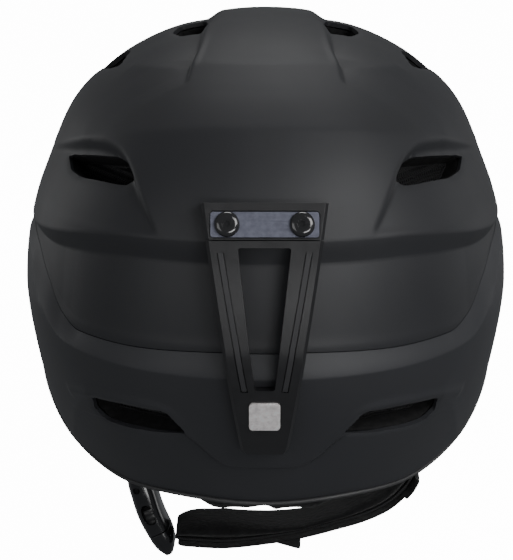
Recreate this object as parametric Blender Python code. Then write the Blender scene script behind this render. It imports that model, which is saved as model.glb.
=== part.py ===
"""Ski helmet: two-piece hard shell over a foam liner, with a goggle-strap retainer,
comfort pads, ear pads, a dial fit system and a chin strap with a side-release buckle.

Frame: +Z up, +Y towards the helmet's front, +X towards the wearer's right.
The origin is the centre of the headband plane. Lengths are in metres.
Azimuths are in degrees from the rear centre line, positive towards +X.
"""
import math

import bmesh
import bpy
import numpy as np
from mathutils import Matrix, Vector

MM = 0.001

# ---- Driving dimensions of the outer shell ----
HALF_WIDTH = 0.1145
REAR_REACH = 0.139
FRONT_REACH = 0.142
CROWN_HEIGHT = 0.1244
NAPE_DEPTH = 0.088          # the rim's lowest point, below the headband plane
PLAN_EXPONENT = 2.19        # roundness of the outline seen from above
SIDE_EXPONENT = 2.08        # roundness of the outline seen from the rear

# ---- Thicknesses and gaps ----
SHELL_THICKNESS = 0.0021
GAP = 0.0003                # between pieces that touch
SHELL_JOINT_GAP = 0.0005    # between the upper and the lower shell
CHANNEL_DEPTH = 0.0050      # goggle-strap channel round the back
FOAM_GAP = 0.0011           # between the shells and the foam's facets
PAD_GAP = 0.0012            # between the foam's facets and the pads
PAD_THICKNESS = 0.008
NAPE_THICKNESS = 0.0048      # thinner, to clear the fit dial

# ---- Foam liner's head cavity ----
CAVITY_HALF_WIDTH = 0.086
CAVITY_REAR = 0.108
CAVITY_FRONT = 0.113
CAVITY_HEIGHT = 0.096

# ---- Heights along the rear half, as (azimuth, mm) ----
RIM = ((0, -88), (25, -85), (40, -84), (65, -71), (95, -48), (125, -50), (150, -22), (180, -12))
OVERHANG_EDGE = ((0, 47.9), (12, 47.1), (27, 45.9), (38, 42.9), (54, 37.4), (72, 33.5), (110, 34), (180, 34))
OVERHANG_FOOT = ((0, 37), (12, 37.2), (27, 36.6), (42, 33.6), (59, 30.5), (72, 30.8), (110, 31), (180, 31))
SEAM = ((0, -4.2), (7, -4), (30, -5.8), (43, -5.6), (50, 0.5), (57, 13), (67, 25.5), (76, 29), (106, 29),
        (116, 12), (126, -22), (136, -46), (180, -46))
BAND_FOOT = ((0, -15.2), (23, -14.4), (36, -13.3), (48, -11), (60, 3), (68, 19), (77, 23.5), (106, 23.5),
             (116, 5), (126, -28), (136, -46), (180, -46))
LOWER_SHELL_END = 135       # azimuth where the lower shell stops, at the temple

COLUMN_STEP = 7.5

# ---- Chin-strap geometry ----
STRAP_Y = 0.030             # the chin strap hangs in this plane
YOKE_RIGHT = Vector((0.0835, STRAP_Y, -0.0945))   # pivot of the strap's fore-and-aft swing
WEB_WIDTH = 0.020
WEB_THICKNESS = 0.0018

# ---- Goggle retainer ----
RETAINER_THICKNESS = 0.0050
STANDOFF = 0.0008           # retainer's back face above the outer surface, on the centre line


def clear_scene():
    for item in list(bpy.data.objects):
        bpy.data.objects.remove(item, do_unlink=True)


def make_material(name, color, roughness, metallic=0.0):
    material = bpy.data.materials.new(name)
    material.use_nodes = True
    shader = material.node_tree.nodes["Principled BSDF"]
    shader.inputs["Base Color"].default_value = (*color, 1.0)
    shader.inputs["Roughness"].default_value = roughness
    shader.inputs["Metallic"].default_value = metallic
    return material


# ---------------------------------------------------------------- surfaces

def wrapped(azimuth):
    return (azimuth + 180) % 360 - 180


def height_at(table, azimuth):
    """Height in metres read from an (azimuth, mm) table, the same on both sides."""
    angles = [row[0] for row in table]
    heights = [row[1] * MM for row in table]
    return float(np.interp(abs(wrapped(azimuth)), angles, heights))


def plan_radius(azimuth, half_width, rear, front):
    s = math.sin(math.radians(azimuth))
    c = math.cos(math.radians(azimuth))
    reach = rear if c > 0 else front
    return ((abs(s) / half_width) ** PLAN_EXPONENT + (abs(c) / reach) ** PLAN_EXPONENT) ** (-1 / PLAN_EXPONENT)


def shoulder_bulge(azimuth, z):
    """The shell stands out a little at the shoulders, above the ears."""
    side = math.exp(-((abs(wrapped(azimuth)) - 95) / 42) ** 2)
    return 0.0045 * side * math.exp(-((z - 0.088) / 0.020) ** 2)


def outer_base(azimuth, z):
    """Point of the plain outer form, without channel, ridges or vents."""
    c = math.cos(math.radians(azimuth))
    s = math.sin(math.radians(azimuth))
    exponent = SIDE_EXPONENT + 0.40 * max(c, 0) ** 2 + 0.20 * max(-c, 0) ** 2
    if z >= 0:
        ratio = (max(0.0, 1 - (z / CROWN_HEIGHT) ** exponent)) ** (1 / exponent)
    else:
        ratio = 1 - (0.129 + 0.212 * max(c, 0)) * (abs(z) / NAPE_DEPTH) ** 1.46
    radius = plan_radius(azimuth, HALF_WIDTH, REAR_REACH, FRONT_REACH) * ratio
    radius += shoulder_bulge(azimuth, z) * (1 if z < 0.118 else 0)
    return Vector((radius * s, -radius * c, z))


def cavity_point(azimuth, z):
    """Point of the foam liner's inner face."""
    c = math.cos(math.radians(azimuth))
    s = math.sin(math.radians(azimuth))
    exponent = 2.15
    if z >= 0:
        ratio = (max(0.0, 1 - (z / CAVITY_HEIGHT) ** exponent)) ** (1 / exponent)
    else:
        ratio = 1 - (0.06 + 0.22 * max(c, 0)) * (abs(z) / NAPE_DEPTH) ** 1.5
    radius = plan_radius(azimuth, CAVITY_HALF_WIDTH, CAVITY_REAR, CAVITY_FRONT) * ratio
    return Vector((radius * s, -radius * c, z))


def normal_of(surface, azimuth, z):
    """Outward unit normal by small steps along the surface."""
    step = 0.0005
    low = surface(azimuth, z - step)
    high = surface(azimuth, z + step)
    left = surface(azimuth - 0.5, z)
    right = surface(azimuth + 0.5, z)
    normal = (right - left).cross(high - low)
    normal.normalize()
    return normal


def offset_point(surface, azimuth, z, offset):
    return surface(azimuth, z) + normal_of(surface, azimuth, z) * offset


def columns(first=-180.0, last=180.0, step=COLUMN_STEP):
    count = max(1, round((last - first) / step))
    return [first + (last - first) * i / count for i in range(count + 1)]


# ---------------------------------------------------------------- mesh helpers

def add_object(name, mesh_data, material):
    mesh = bpy.data.meshes.new(name)
    bmesh.ops.recalc_face_normals(mesh_data, faces=mesh_data.faces)
    mesh_data.to_mesh(mesh)
    mesh_data.free()
    piece = bpy.data.objects.new(name, mesh)
    bpy.context.scene.collection.objects.link(piece)
    mesh.materials.append(material)
    return piece


def skin(name, outer, inner, material, ring, outer_pole=None, inner_pole=None):
    """Closed solid between two grids of points, outer[row][column] and inner[row][column]."""
    bm = bmesh.new()
    outer_verts = [[bm.verts.new(p) for p in row] for row in outer]
    inner_verts = [[bm.verts.new(p) for p in row] for row in inner]
    rows = len(outer)
    cols = len(outer[0])
    spans = [(c, (c + 1) % cols) for c in range(cols if ring else cols - 1)]
    for grid in (outer_verts, inner_verts):
        for r in range(rows - 1):
            for a, b in spans:
                bm.faces.new((grid[r][a], grid[r][b], grid[r + 1][b], grid[r + 1][a]))
    for a, b in spans:
        bm.faces.new((outer_verts[-1][a], outer_verts[-1][b], inner_verts[-1][b], inner_verts[-1][a]))
    if outer_pole is None:
        for a, b in spans:
            bm.faces.new((outer_verts[0][a], outer_verts[0][b], inner_verts[0][b], inner_verts[0][a]))
    else:
        for grid, pole in ((outer_verts, outer_pole), (inner_verts, inner_pole)):
            top = bm.verts.new(pole)
            for a, b in spans:
                bm.faces.new((top, grid[0][a], grid[0][b]))
    if not ring:
        for c in (0, cols - 1):
            for r in range(rows - 1):
                bm.faces.new((outer_verts[r][c], outer_verts[r + 1][c], inner_verts[r + 1][c], inner_verts[r][c]))
    return add_object(name, bm, material)


def loft(name, sections, material):
    """Closed solid through a list of equal-length point loops, with filled ends."""
    bm = bmesh.new()
    loops = [[bm.verts.new(p) for p in section] for section in sections]
    count = len(loops[0])
    for first, second in zip(loops, loops[1:]):
        for i in range(count):
            j = (i + 1) % count
            bm.faces.new((first[i], first[j], second[j], second[i]))
    bm.faces.new(loops[0])
    bm.faces.new(loops[-1])
    return add_object(name, bm, material)


def closed_loft(name, sections, material):
    """Closed ring through a list of point loops: the last joins the first."""
    bm = bmesh.new()
    loops = [[bm.verts.new(p) for p in section] for section in sections]
    count = len(loops[0])
    for k, first in enumerate(loops):
        second = loops[(k + 1) % len(loops)]
        for i in range(count):
            j = (i + 1) % count
            bm.faces.new((first[i], first[j], second[j], second[i]))
    return add_object(name, bm, material)


def path_frames(points):
    """Unit tangents along a list of points."""
    tangents = []
    for i in range(len(points)):
        before = points[max(i - 1, 0)]
        after = points[min(i + 1, len(points) - 1)]
        tangents.append((after - before).normalized())
    return tangents


def ribbon(name, points, across, thickness, material):
    """Flat strap along points. across holds each station's half-width vector."""
    sections = []
    for point, tangent, half in zip(points, path_frames(points), across):
        up = tangent.cross(half).normalized() * (thickness / 2)
        sections.append([point - half - up, point + half - up, point + half + up, point - half + up])
    return loft(name, sections, material)


def smooth_path(points, per_span=4):
    """Points on a smooth curve through the given points."""
    result = []
    last = len(points) - 1
    for i in range(last):
        p0 = points[max(i - 1, 0)]
        p1 = points[i]
        p2 = points[i + 1]
        p3 = points[min(i + 2, last)]
        for k in range(per_span):
            t = k / per_span
            result.append(0.5 * ((2 * p1) + (p2 - p0) * t + (2 * p0 - 5 * p1 + 4 * p2 - p3) * t * t
                                 + (3 * p1 - p0 - 3 * p2 + p3) * t ** 3))
    result.append(points[-1].copy())
    return result


def oval_section(center, half_u, half_v, sides, exponent=2.4):
    """Loop of points on a rounded rectangle spanned by two half-axis vectors."""
    loop = []
    for i in range(sides):
        angle = 2 * math.pi * i / sides
        c = math.cos(angle)
        s = math.sin(angle)
        u = math.copysign(abs(c) ** (2 / exponent), c)
        v = math.copysign(abs(s) ** (2 / exponent), s)
        loop.append(center + half_u * u + half_v * v)
    return loop


def prism(name, outline, depth_vector, material):
    """Closed solid from a planar outline pushed along a vector."""
    return loft(name, [outline, [p + depth_vector for p in outline]], material)


def cylinder(name, center, axis, radius, length, sides, material, radius_end=None):
    """Closed cylinder or cone frustum from center along axis."""
    axis = Vector(axis).normalized()
    side = axis.orthogonal().normalized()
    other = axis.cross(side)
    end = radius if radius_end is None else radius_end
    sections = []
    for distance, r in ((0.0, radius), (length, end)):
        sections.append(oval_section(center + axis * distance, side * r, other * r, sides, 2.0))
    return loft(name, sections, material)


def ring_solid(name, center, half_u, half_v, wire, material, stations=20, sides=6):
    """Closed ring of round wire along a rounded rectangle."""
    path = oval_section(center, half_u, half_v, stations, 3.2)
    flat = half_u.cross(half_v).normalized()
    sections = []
    for i, point in enumerate(path):
        tangent = (path[(i + 1) % stations] - path[i - 1]).normalized()
        outward = tangent.cross(flat).normalized()
        sections.append(oval_section(point, outward * wire, flat * wire, sides, 2.0))
    return closed_loft(name, sections, material)


def cut(piece, cutter):
    """Boolean difference that hides its cutter."""
    cutter.hide_render = True
    cutter.display_type = "WIRE"
    modifier = piece.modifiers.new("cut_" + cutter.name, "BOOLEAN")
    modifier.operation = "DIFFERENCE"
    modifier.solver = "EXACT"
    modifier.object = cutter


def soften(piece, width, segments=1):
    modifier = piece.modifiers.new("bevel", "BEVEL")
    modifier.width = width
    modifier.segments = segments
    modifier.limit_method = "ANGLE"
    modifier.angle_limit = math.radians(40)


# ---------------------------------------------------------------- materials

def make_materials():
    return {
        "shell": make_material("shell_plastic", (0.030, 0.031, 0.034), 0.55),
        "lower": make_material("lower_shell_plastic", (0.026, 0.027, 0.029), 0.55),
        "foam": make_material("black_foam", (0.012, 0.012, 0.012), 0.9),
        "trim": make_material("rim_trim_rubber", (0.035, 0.035, 0.036), 0.7),
        "retainer": make_material("retainer_rubber", (0.022, 0.022, 0.023), 0.5),
        "plate": make_material("plate_metal", (0.13, 0.14, 0.18), 0.4, 0.6),
        "steel": make_material("screw_steel", (0.10, 0.10, 0.10), 0.3, 0.9),
        "badge": make_material("badge_metal", (0.75, 0.74, 0.72), 0.25, 1.0),
        "fleece": make_material("black_fleece", (0.006, 0.006, 0.006), 1.0),
        "webbing": make_material("black_webbing", (0.01, 0.01, 0.01), 0.8),
        "gloss": make_material("buckle_plastic", (0.012, 0.012, 0.014), 0.25),
        "mesh": make_material("vent_mesh", (0.015, 0.015, 0.015), 0.8),
    }


# ---------------------------------------------------------------- shells and liner

def upper_rows(azimuth):
    """(height, outward offset) of the upper shell's rows, from near the crown down."""
    edge = height_at(OVERHANG_EDGE, azimuth)
    foot = height_at(OVERHANG_FOOT, azimuth)
    low = split_height(azimuth)
    rows = []
    top_psi = 78
    edge_psi = math.degrees(math.asin(min(1.0, (edge / CROWN_HEIGHT) ** 1.1)))
    steps = 7
    for i in range(steps):
        psi = math.radians(top_psi + (edge_psi - top_psi) * i / steps)
        rows.append((CROWN_HEIGHT * math.sin(psi) ** (1 / 1.1), crown_ridge(azimuth, i)))
    rows.append((edge, 0.0))
    depth = CHANNEL_DEPTH * channel_share(azimuth)
    rows.append((foot, -depth))
    low_edge = low + SHELL_JOINT_GAP / 2
    rows.append(((foot + low_edge) / 2, -depth))
    rows.append((low_edge, -depth * 0.9))
    return rows


def split_height(azimuth):
    """Height of the joint between the shells, or of the rim ahead of the lower shell."""
    rim = height_at(RIM, azimuth)
    if abs(azimuth) > LOWER_SHELL_END:
        return rim
    return max(height_at(SEAM, azimuth), rim + 0.012)


def channel_share(azimuth):
    """1 across the back, fading to a shallow groove at the sides."""
    a = abs(azimuth)
    return float(np.interp(a, (0, 50, 72, 110, 140, 180), (1.0, 1.0, 0.45, 0.4, 0.0, 0.0)))


def crown_ridge(azimuth, row):
    """The crown's central panel stands proud by this much."""
    return 0.0012 if row == 0 else 0.0


def lower_rows(azimuth):
    band = height_at(BAND_FOOT, azimuth)
    rim = height_at(RIM, azimuth)
    top = split_height(azimuth)
    shoulder = max(min(band, top - 0.004), rim + 0.008)
    depth = CHANNEL_DEPTH * channel_share(azimuth)
    rows = [(top - SHELL_JOINT_GAP / 2, -depth * 0.9), (shoulder, 0.0)]
    for share in (0.33, 0.67):
        rows.append((shoulder + (rim - shoulder) * share, 0.0))
    rows.append((rim, 0.0))
    return rows


def grid_from_rows(surface, azimuths, row_function, extra):
    """Point grid [row][column] offset from a surface by each row's offset plus extra."""
    table = [row_function(a) for a in azimuths]
    rows = len(table[0])
    return [[offset_point(surface, a, table[k][r][0], table[k][r][1] + extra)
             for k, a in enumerate(azimuths)] for r in range(rows)]


def build_upper_shell(mats):
    azimuths = columns()[:-1]
    outer = grid_from_rows(outer_base, azimuths, upper_rows, 0.0)
    inner = grid_from_rows(outer_base, azimuths, upper_rows, -SHELL_THICKNESS)
    top = Vector((0, 0, CROWN_HEIGHT + 0.0012))
    below = Vector((0, 0, CROWN_HEIGHT + 0.0012 - SHELL_THICKNESS))
    return skin("upper_shell", outer, inner, mats["shell"], True, top, below)


def build_lower_shell(mats):
    azimuths = columns(-LOWER_SHELL_END, LOWER_SHELL_END, COLUMN_STEP)
    outer = grid_from_rows(outer_base, azimuths, lower_rows, 0.0)
    inner = grid_from_rows(outer_base, azimuths, lower_rows, -SHELL_THICKNESS)
    return skin("lower_shell", outer, inner, mats["lower"], False)


def foam_rows(azimuth):
    """The foam follows the upper shell's rows, then the lower shell's."""
    upper = upper_rows(azimuth)
    if abs(azimuth) > LOWER_SHELL_END:
        last_height = upper[-1][0]
        rows = upper[:-1]
        start = rows[-1]
        rows += [(start[0] + (last_height - start[0]) * k / 5, start[1]) for k in range(1, 6)]
        return rows
    return upper[:-1] + lower_rows(azimuth)


def build_foam(mats):
    azimuths = columns()[:-1]
    table = [foam_rows(a) for a in azimuths]
    count = len(table[0])
    clearance = SHELL_THICKNESS + FOAM_GAP
    outer = [[offset_point(outer_base, a, table[k][r][0], table[k][r][1] - clearance)
              for k, a in enumerate(azimuths)] for r in range(count)]
    inner = []
    for r in range(count):
        line = []
        for k, a in enumerate(azimuths):
            z = table[k][r][0]
            line.append(cavity_point(a, z * CAVITY_HEIGHT / CROWN_HEIGHT if z > 0 else z))
        inner.append(line)
    top = Vector((0, 0, CROWN_HEIGHT + 0.0012 - clearance))
    below = Vector((0, 0, CAVITY_HEIGHT))
    return skin("foam_liner", outer, inner, mats["foam"], True, top, below)


# ---------------------------------------------------------------- vents

# Outlines on the right-hand side. Rear vents are (azimuth, mm height); the others are (x, y) in mm.
REAR_UPPER_VENT = ((30, 70), (32.5, 66.3), (49.5, 63.7), (56, 64), (62, 68), (58, 70.4), (38.5, 76.8), (33, 75))
REAR_LOWER_VENT = ((17, -47.2), (17.5, -44), (20.5, -35), (30.5, -35.2), (41, -36.4), (42, -43.8), (39, -49),
                   (26, -49.4), (18.5, -48.4))
TOP_VENT = ((27, -9), (40.5, -7), (45, 8), (42, 27), (30, 29))
SHOULDER_VENT = ((65, 12), (69, -13), (74, -4), (81, 22), (79, 40), (70, 34))
FRONT_VENT = ((14, 118), (34, 110), (37, 100), (15, 108))


def rear_outline(table, side):
    return [outer_base(azimuth * side, height * MM) for azimuth, height in table]


def top_outline(table, side):
    """Outline points lifted from plan positions onto the outer surface."""
    result = []
    for x, y in table:
        azimuth = math.degrees(math.atan2(x, -y))
        low = 0.0
        high = CROWN_HEIGHT
        for _ in range(30):
            middle = (low + high) / 2
            point = outer_base(azimuth, middle)
            if math.hypot(point.x, point.y) > math.hypot(x, y) * MM:
                low = middle
            else:
                high = middle
        result.append(Vector((x * MM * side, y * MM, low)))
    return result


def outline_normal(outline):
    """Mean normal of an outline, pointing away from the helmet's inside."""
    normal = Vector()
    middle = sum(outline, Vector()) / len(outline)
    for a, b in zip(outline, outline[1:] + outline[:1]):
        normal += (a - middle).cross(b - middle)
    normal.normalize()
    if normal.dot(middle) < 0:
        normal.negate()
    return normal


def build_vent(label, outline, targets, insert_depth, mats):
    """Cut one vent through shell and foam, and seat a mesh insert in it if it has one."""
    normal = outline_normal(outline)
    middle = sum(outline, Vector()) / len(outline)
    start = [p + normal * 0.014 for p in outline]
    cutter = prism("vent_cutter_" + label, start, normal * -0.062, mats["mesh"])
    for piece in targets:
        cut(piece, cutter)
    if insert_depth is None:
        return
    inset = 0.0011
    shrunk = []
    for p in outline:
        flat = p + normal * (middle - p).dot(normal)
        toward = (middle - flat).normalized()
        shrunk.append(flat + toward * inset - normal * insert_depth)
    prism("vent_mesh_" + label, shrunk, normal * -0.0015, mats["mesh"])


def build_vents(upper, lower, foam, mats):
    for side, letter in ((-1, "l"), (1, "r")):
        build_vent("rear_upper_" + letter, rear_outline(REAR_UPPER_VENT, side), (upper, foam), 0.014, mats)
        build_vent("rear_lower_" + letter, rear_outline(REAR_LOWER_VENT, side), (lower, foam), 0.009, mats)
        build_vent("top_" + letter, top_outline(TOP_VENT, side), (upper, foam), 0.011, mats)
        build_vent("shoulder_" + letter, top_outline(SHOULDER_VENT, side), (upper, foam), 0.011, mats)
        build_vent("front_" + letter, top_outline(FRONT_VENT, side), (upper, foam), None, mats)


# ---------------------------------------------------------------- rim and pads

def build_rim_trim(mats):
    """Soft bead under the rim that covers the edge between shell and foam."""
    sections = []
    for azimuth in columns()[:-1]:
        rim = height_at(RIM, azimuth)
        edge = outer_base(azimuth, rim)
        inward = Vector((-edge.x, -edge.y, 0)).normalized()
        top = edge + inward * 0.0004 + Vector((0, 0, -0.0006))
        inner = edge + inward * 0.0042 + Vector((0, 0, -0.0006))
        drop = Vector((0, 0, -0.0022))
        sections.append([top, inner, inner + drop, top + drop + inward * 0.0006])
    return closed_loft("rim_trim", sections, mats["trim"])


def cavity_patch(name, first, last, low, high, depth, thickness, material, count=None):
    """Curved slab lying inside the foam's cavity between two azimuths and two heights."""
    azimuths = columns(first, last, (last - first) / (count or max(4, round(abs(last - first) / 11))))
    rows = 4
    outer = []
    inner = []
    for r in range(rows):
        line_out = []
        line_in = []
        for a in azimuths:
            bottom = low(a) if callable(low) else low
            z = high + (bottom - high) * r / (rows - 1)
            line_out.append(offset_point(cavity_point, a, z, -depth))
            line_in.append(offset_point(cavity_point, a, z, -depth - thickness))
        outer.append(line_out)
        inner.append(line_in)
    return skin(name, outer, inner, material, False)


def build_pads(mats):
    azimuths = columns(-180, 180, 15)[:-1]
    heights = [CAVITY_HEIGHT * math.sin(math.radians(psi)) for psi in (78, 68, 58)]
    outer = [[offset_point(cavity_point, a, z, -PAD_GAP) for a in azimuths] for z in heights]
    inner = [[offset_point(cavity_point, a, z, -PAD_GAP - 0.006) for a in azimuths] for z in heights]
    skin("crown_pad", outer, inner, mats["fleece"], True,
         Vector((0, 0, CAVITY_HEIGHT - PAD_GAP)), Vector((0, 0, CAVITY_HEIGHT - PAD_GAP - 0.006)))
    cavity_patch("front_pad", 132, 228, -0.008, 0.024, PAD_GAP, PAD_THICKNESS, mats["fleece"])
    cavity_patch("rear_pad", -38, 38, -0.018, 0.026, PAD_GAP, PAD_THICKNESS, mats["fleece"])
    cavity_patch("side_pad_l", -122, -52, -0.012, 0.030, PAD_GAP, PAD_THICKNESS, mats["fleece"])
    cavity_patch("side_pad_r", 52, 122, -0.012, 0.030, PAD_GAP, PAD_THICKNESS, mats["fleece"])

    def nape_edge(azimuth):
        return -0.0975 + 0.0010 * math.cos(math.radians(azimuth) * 11)

    cavity_patch("nape_pad", -34, 34, nape_edge, -0.050, PAD_GAP, NAPE_THICKNESS, mats["fleece"], 14)


# ---------------------------------------------------------------- fit system

CRADLE_DEPTH = 0.0235
CRADLE_THICKNESS = 0.0022
DIAL_CENTER = Vector((0.0, -0.0668, -0.0838))
DIAL_RADIUS = 0.0115


def build_fit_system(mats):
    """Nape cradle with its dial, and the fixed side bands it draws on."""
    cavity_patch("fit_cradle", -36, 36, -0.080, -0.044, CRADLE_DEPTH, CRADLE_THICKNESS, mats["gloss"])
    for side, letter in ((-1, "l"), (1, "r")):
        first, last = sorted((side * 47, side * 112))
        cavity_patch("fit_band_" + letter, first, last, -0.036, -0.020, 0.0115, 0.0012, mats["gloss"])
    axis = Vector((0, 1, 0))
    sections = []
    for distance, radius in ((0.0, 0.0095), (0.0012, DIAL_RADIUS), (0.0045, DIAL_RADIUS)):
        loop = []
        for i in range(32):
            lobe = radius - (0.0007 if i % 4 == 0 else 0.0)
            angle = 2 * math.pi * i / 32
            loop.append(DIAL_CENTER + Vector((lobe * math.cos(angle), distance, lobe * math.sin(angle))))
        sections.append(loop)
    loft("fit_dial", sections, mats["gloss"])
    cylinder("fit_dial_housing", DIAL_CENTER + axis * 0.0050, axis, 0.0105, 0.0022, 20, mats["gloss"])


# ---------------------------------------------------------------- ear pads

EAR_PAD_OUTER = 0.0762
EAR_PAD_THICKNESS = 0.0125


def build_ear_pads(mats):
    """Padded flaps that hang from the liner over the ears."""
    center_y = 0.012
    center_z = -0.0675
    half_y = 0.034
    half_z = 0.0285
    for side, letter in ((-1, "l"), (1, "r")):
        sections = []
        for depth, inset in ((0.0, 0.005), (0.003, 0.0), (0.0095, 0.0), (EAR_PAD_THICKNESS, 0.006)):
            x = (EAR_PAD_OUTER - depth) * side
            loop = oval_section(Vector((x, center_y, center_z)), Vector((0, half_y - inset, 0)),
                                Vector((0, 0, half_z - inset)), 24, 3.0)
            sections.append(loop)
        loft("ear_pad_" + letter, sections, mats["fleece"])
        clip = oval_section(Vector(((EAR_PAD_OUTER + 0.0004) * side, center_y, -0.045)),
                            Vector((0, 0.016, 0)), Vector((0, 0, 0.004)), 12, 4)
        prism("ear_pad_clip_" + letter, clip, Vector((0.0012 * side, 0, 0)), mats["gloss"])


# ---------------------------------------------------------------- retainer

def azimuth_for(x, z):
    """Azimuth at which the outer surface has the given x at height z, on the rear half."""
    low = -80.0
    high = 80.0
    for _ in range(40):
        middle = (low + high) / 2
        if outer_base(middle, z).x < x:
            low = middle
        else:
            high = middle
    return low


def rear_point(x, z, offset):
    return offset_point(outer_base, azimuth_for(x, z), z, offset)


def spine_point(x, z, offset):
    """Point on a sheet that follows the rear centre line and is straight across."""
    return offset_point(outer_base, 0.0, z, offset) + Vector((x, 0, 0))


def rear_slab(name, heights, left, right, back, front, material, edge_drop=0.0, cols=5, back_point=None):
    """Slab behind the helmet between two x limits given at each height, straight across."""
    back_point = back_point or spine_point
    outer = []
    inner = []
    for z in heights:
        xs = [left(z) + (right(z) - left(z)) * c / (cols - 1) for c in range(cols)]
        drops = [edge_drop if c in (0, cols - 1) else 0.0 for c in range(cols)]
        outer.append([spine_point(x, z, front - d) for x, d in zip(xs, drops)])
        inner.append([back_point(x, z, back) for x in xs])
    return skin(name, outer, inner, material, False)


def frame_half_width(z):
    """The V frame tapers from the bar down to its tip."""
    return 0.0105 + (z + 0.0506) / 0.0972 * 0.0150


def heights_between(high, low, count):
    return [high + (low - high) * i / (count - 1) for i in range(count)]


BAR_TOP = 0.0624
BAR_BOTTOM = 0.0480
FRAME_TOP = 0.0476
FRAME_BOTTOM = -0.0505
WINDOW = ((-0.0116, 0.0462), (0.0116, 0.0462), (0.0045, -0.0185), (-0.0045, -0.0185))
SCREW_X = 0.0163
SCREW_Z = 0.0541
PLATE_RECESS = 0.0013
INLAY_RECESS = 0.0010
BADGE_RECESS = 0.0010
STUD_Z = -0.0303


def build_retainer(mats):
    front = STANDOFF + RETAINER_THICKNESS

    bar = rear_slab("retainer_bar", heights_between(BAR_TOP, BAR_BOTTOM, 4),
                       lambda z: -0.0277 + (BAR_TOP - z) * 0.15, lambda z: 0.0277 - (BAR_TOP - z) * 0.15,
                       STANDOFF, front, mats["retainer"], 0.0012, 9, rear_point)
    recess = rear_slab("plate_recess", heights_between(0.0594, 0.0486, 3),
                          lambda z: -0.0240, lambda z: 0.0240, front - PLATE_RECESS, front + 0.004,
                          mats["retainer"], 0.0, 9)
    cut(bar, recess)
    plate = rear_slab("retainer_plate", heights_between(0.0590, 0.0490, 3),
                         lambda z: -0.0236, lambda z: 0.0236, front - PLATE_RECESS + GAP, front - 0.0001,
                         mats["plate"], 0.0, 9)
    for side, letter in ((-1, "l"), (1, "r")):
        seat = spine_point(SCREW_X * side, SCREW_Z, front)
        axis = normal_of(outer_base, 0.0, SCREW_Z)
        hole = cylinder("screw_hole_" + letter, seat + axis * 0.004, -axis, 0.0023, 0.012, 16, mats["steel"])
        cut(bar, hole)
        cut(plate, hole)
        profile = ((-0.0048, 0.0019), (GAP, 0.0019), (GAP, 0.0056), (0.0012, 0.0055), (0.0021, 0.0046),
                   (0.0026, 0.0030), (0.0026, 0.0018), (0.0014, 0.0016))
        across = axis.orthogonal().normalized()
        other = axis.cross(across)
        sections = [oval_section(seat + axis * d, across * r, other * r, 16, 2.0) for d, r in profile]
        loft("retainer_screw_" + letter, sections, mats["steel"])

    frame = rear_slab("retainer_frame", heights_between(FRAME_TOP, FRAME_BOTTOM, 13),
                         lambda z: -frame_half_width(z), frame_half_width,
                         STANDOFF, front, mats["retainer"], 0.0014, 7)
    window = prism("retainer_window", [Vector((x, -0.165, z)) for x, z in WINDOW], Vector((0, 0.05, 0)),
                   mats["retainer"])
    cut(frame, window)
    for side, letter in ((-1, "l"), (1, "r")):
        def center(z):
            return side * (0.0084 + (z + 0.020) / 0.0625 * 0.0108)

        for name, margin, back, outer in (("inlay_groove_" + letter, GAP, front - INLAY_RECESS, front + 0.003),
                                          ("retainer_inlay_" + letter, 0.0, front - INLAY_RECESS + GAP,
                                           front - 0.0002)):
            piece = rear_slab(name, heights_between(0.0450 + margin, -0.0170 - margin, 7),
                                 lambda z: center(z) - 0.0013 - margin, lambda z: center(z) + 0.0013 + margin,
                                 back, outer, mats["trim"], 0.0, 2)
            if margin:
                cut(frame, piece)
    badge_recess = rear_slab("badge_recess", heights_between(-0.0222, -0.0368, 4),
                                lambda z: -0.0073, lambda z: 0.0073, front - BADGE_RECESS, front + 0.003,
                                mats["retainer"])
    cut(frame, badge_recess)
    badge = rear_slab("retainer_badge", heights_between(-0.0226, -0.0364, 4),
                         lambda z: -0.0069, lambda z: 0.0069, front - BADGE_RECESS + GAP, front + 0.0007,
                         mats["badge"])
    soften(badge, 0.0008)
    stud_base = rear_point(0.0, STUD_Z, GAP)
    outward = Vector((0, -1, 0))
    cylinder("snap_stud", stud_base + outward * 0.0012, outward, 0.0028, 0.0024, 16, mats["steel"], 0.0024)
    socket = cylinder("snap_socket", stud_base - outward * 0.002, outward, 0.0038, 0.0063, 16,
                      mats["retainer"])
    cut(frame, socket)


# ---------------------------------------------------------------- harness

def chin_vector(x, z):
    return Vector((x * MM, STRAP_Y, z * MM))


STRAP_ROUTE = [chin_vector(*p) for p in ((-45.4, -145.4), (-38, -146.2), (-20, -147.0), (0, -144.8),
                                         (18, -141.6), (35, -137), (49, -132.6), (61, -126.6),
                                         (70, -118), (74.4, -109.6))]
# x and half thickness of the padding, mm
CHIN_PAD_HALF = ((-46, 4.2), (-20, 5.0), (2, 2.8), (20, 1.6), (40, 2.3), (52, 3.3), (80, 3.3))
STRAP_GAP = WEB_THICKNESS / 2 + 0.0005               # from the webbing's middle to the pads on it
RING_TOP = Vector((0.0809, STRAP_Y, -0.1021))       # axis on which the chin strap swings open
Y_AXIS = Vector((0, 1, 0))


def chin_pad_half(x):
    """Half thickness of the padding at x, in metres."""
    for (x0, half0), (x1, half1) in zip(CHIN_PAD_HALF, CHIN_PAD_HALF[1:]):
        if x <= x1 * MM:
            share = max(0.0, (x - x0 * MM) / ((x1 - x0) * MM))
            return (half0 + (half1 - half0) * share) * MM
    return CHIN_PAD_HALF[-1][1] * MM


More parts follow.
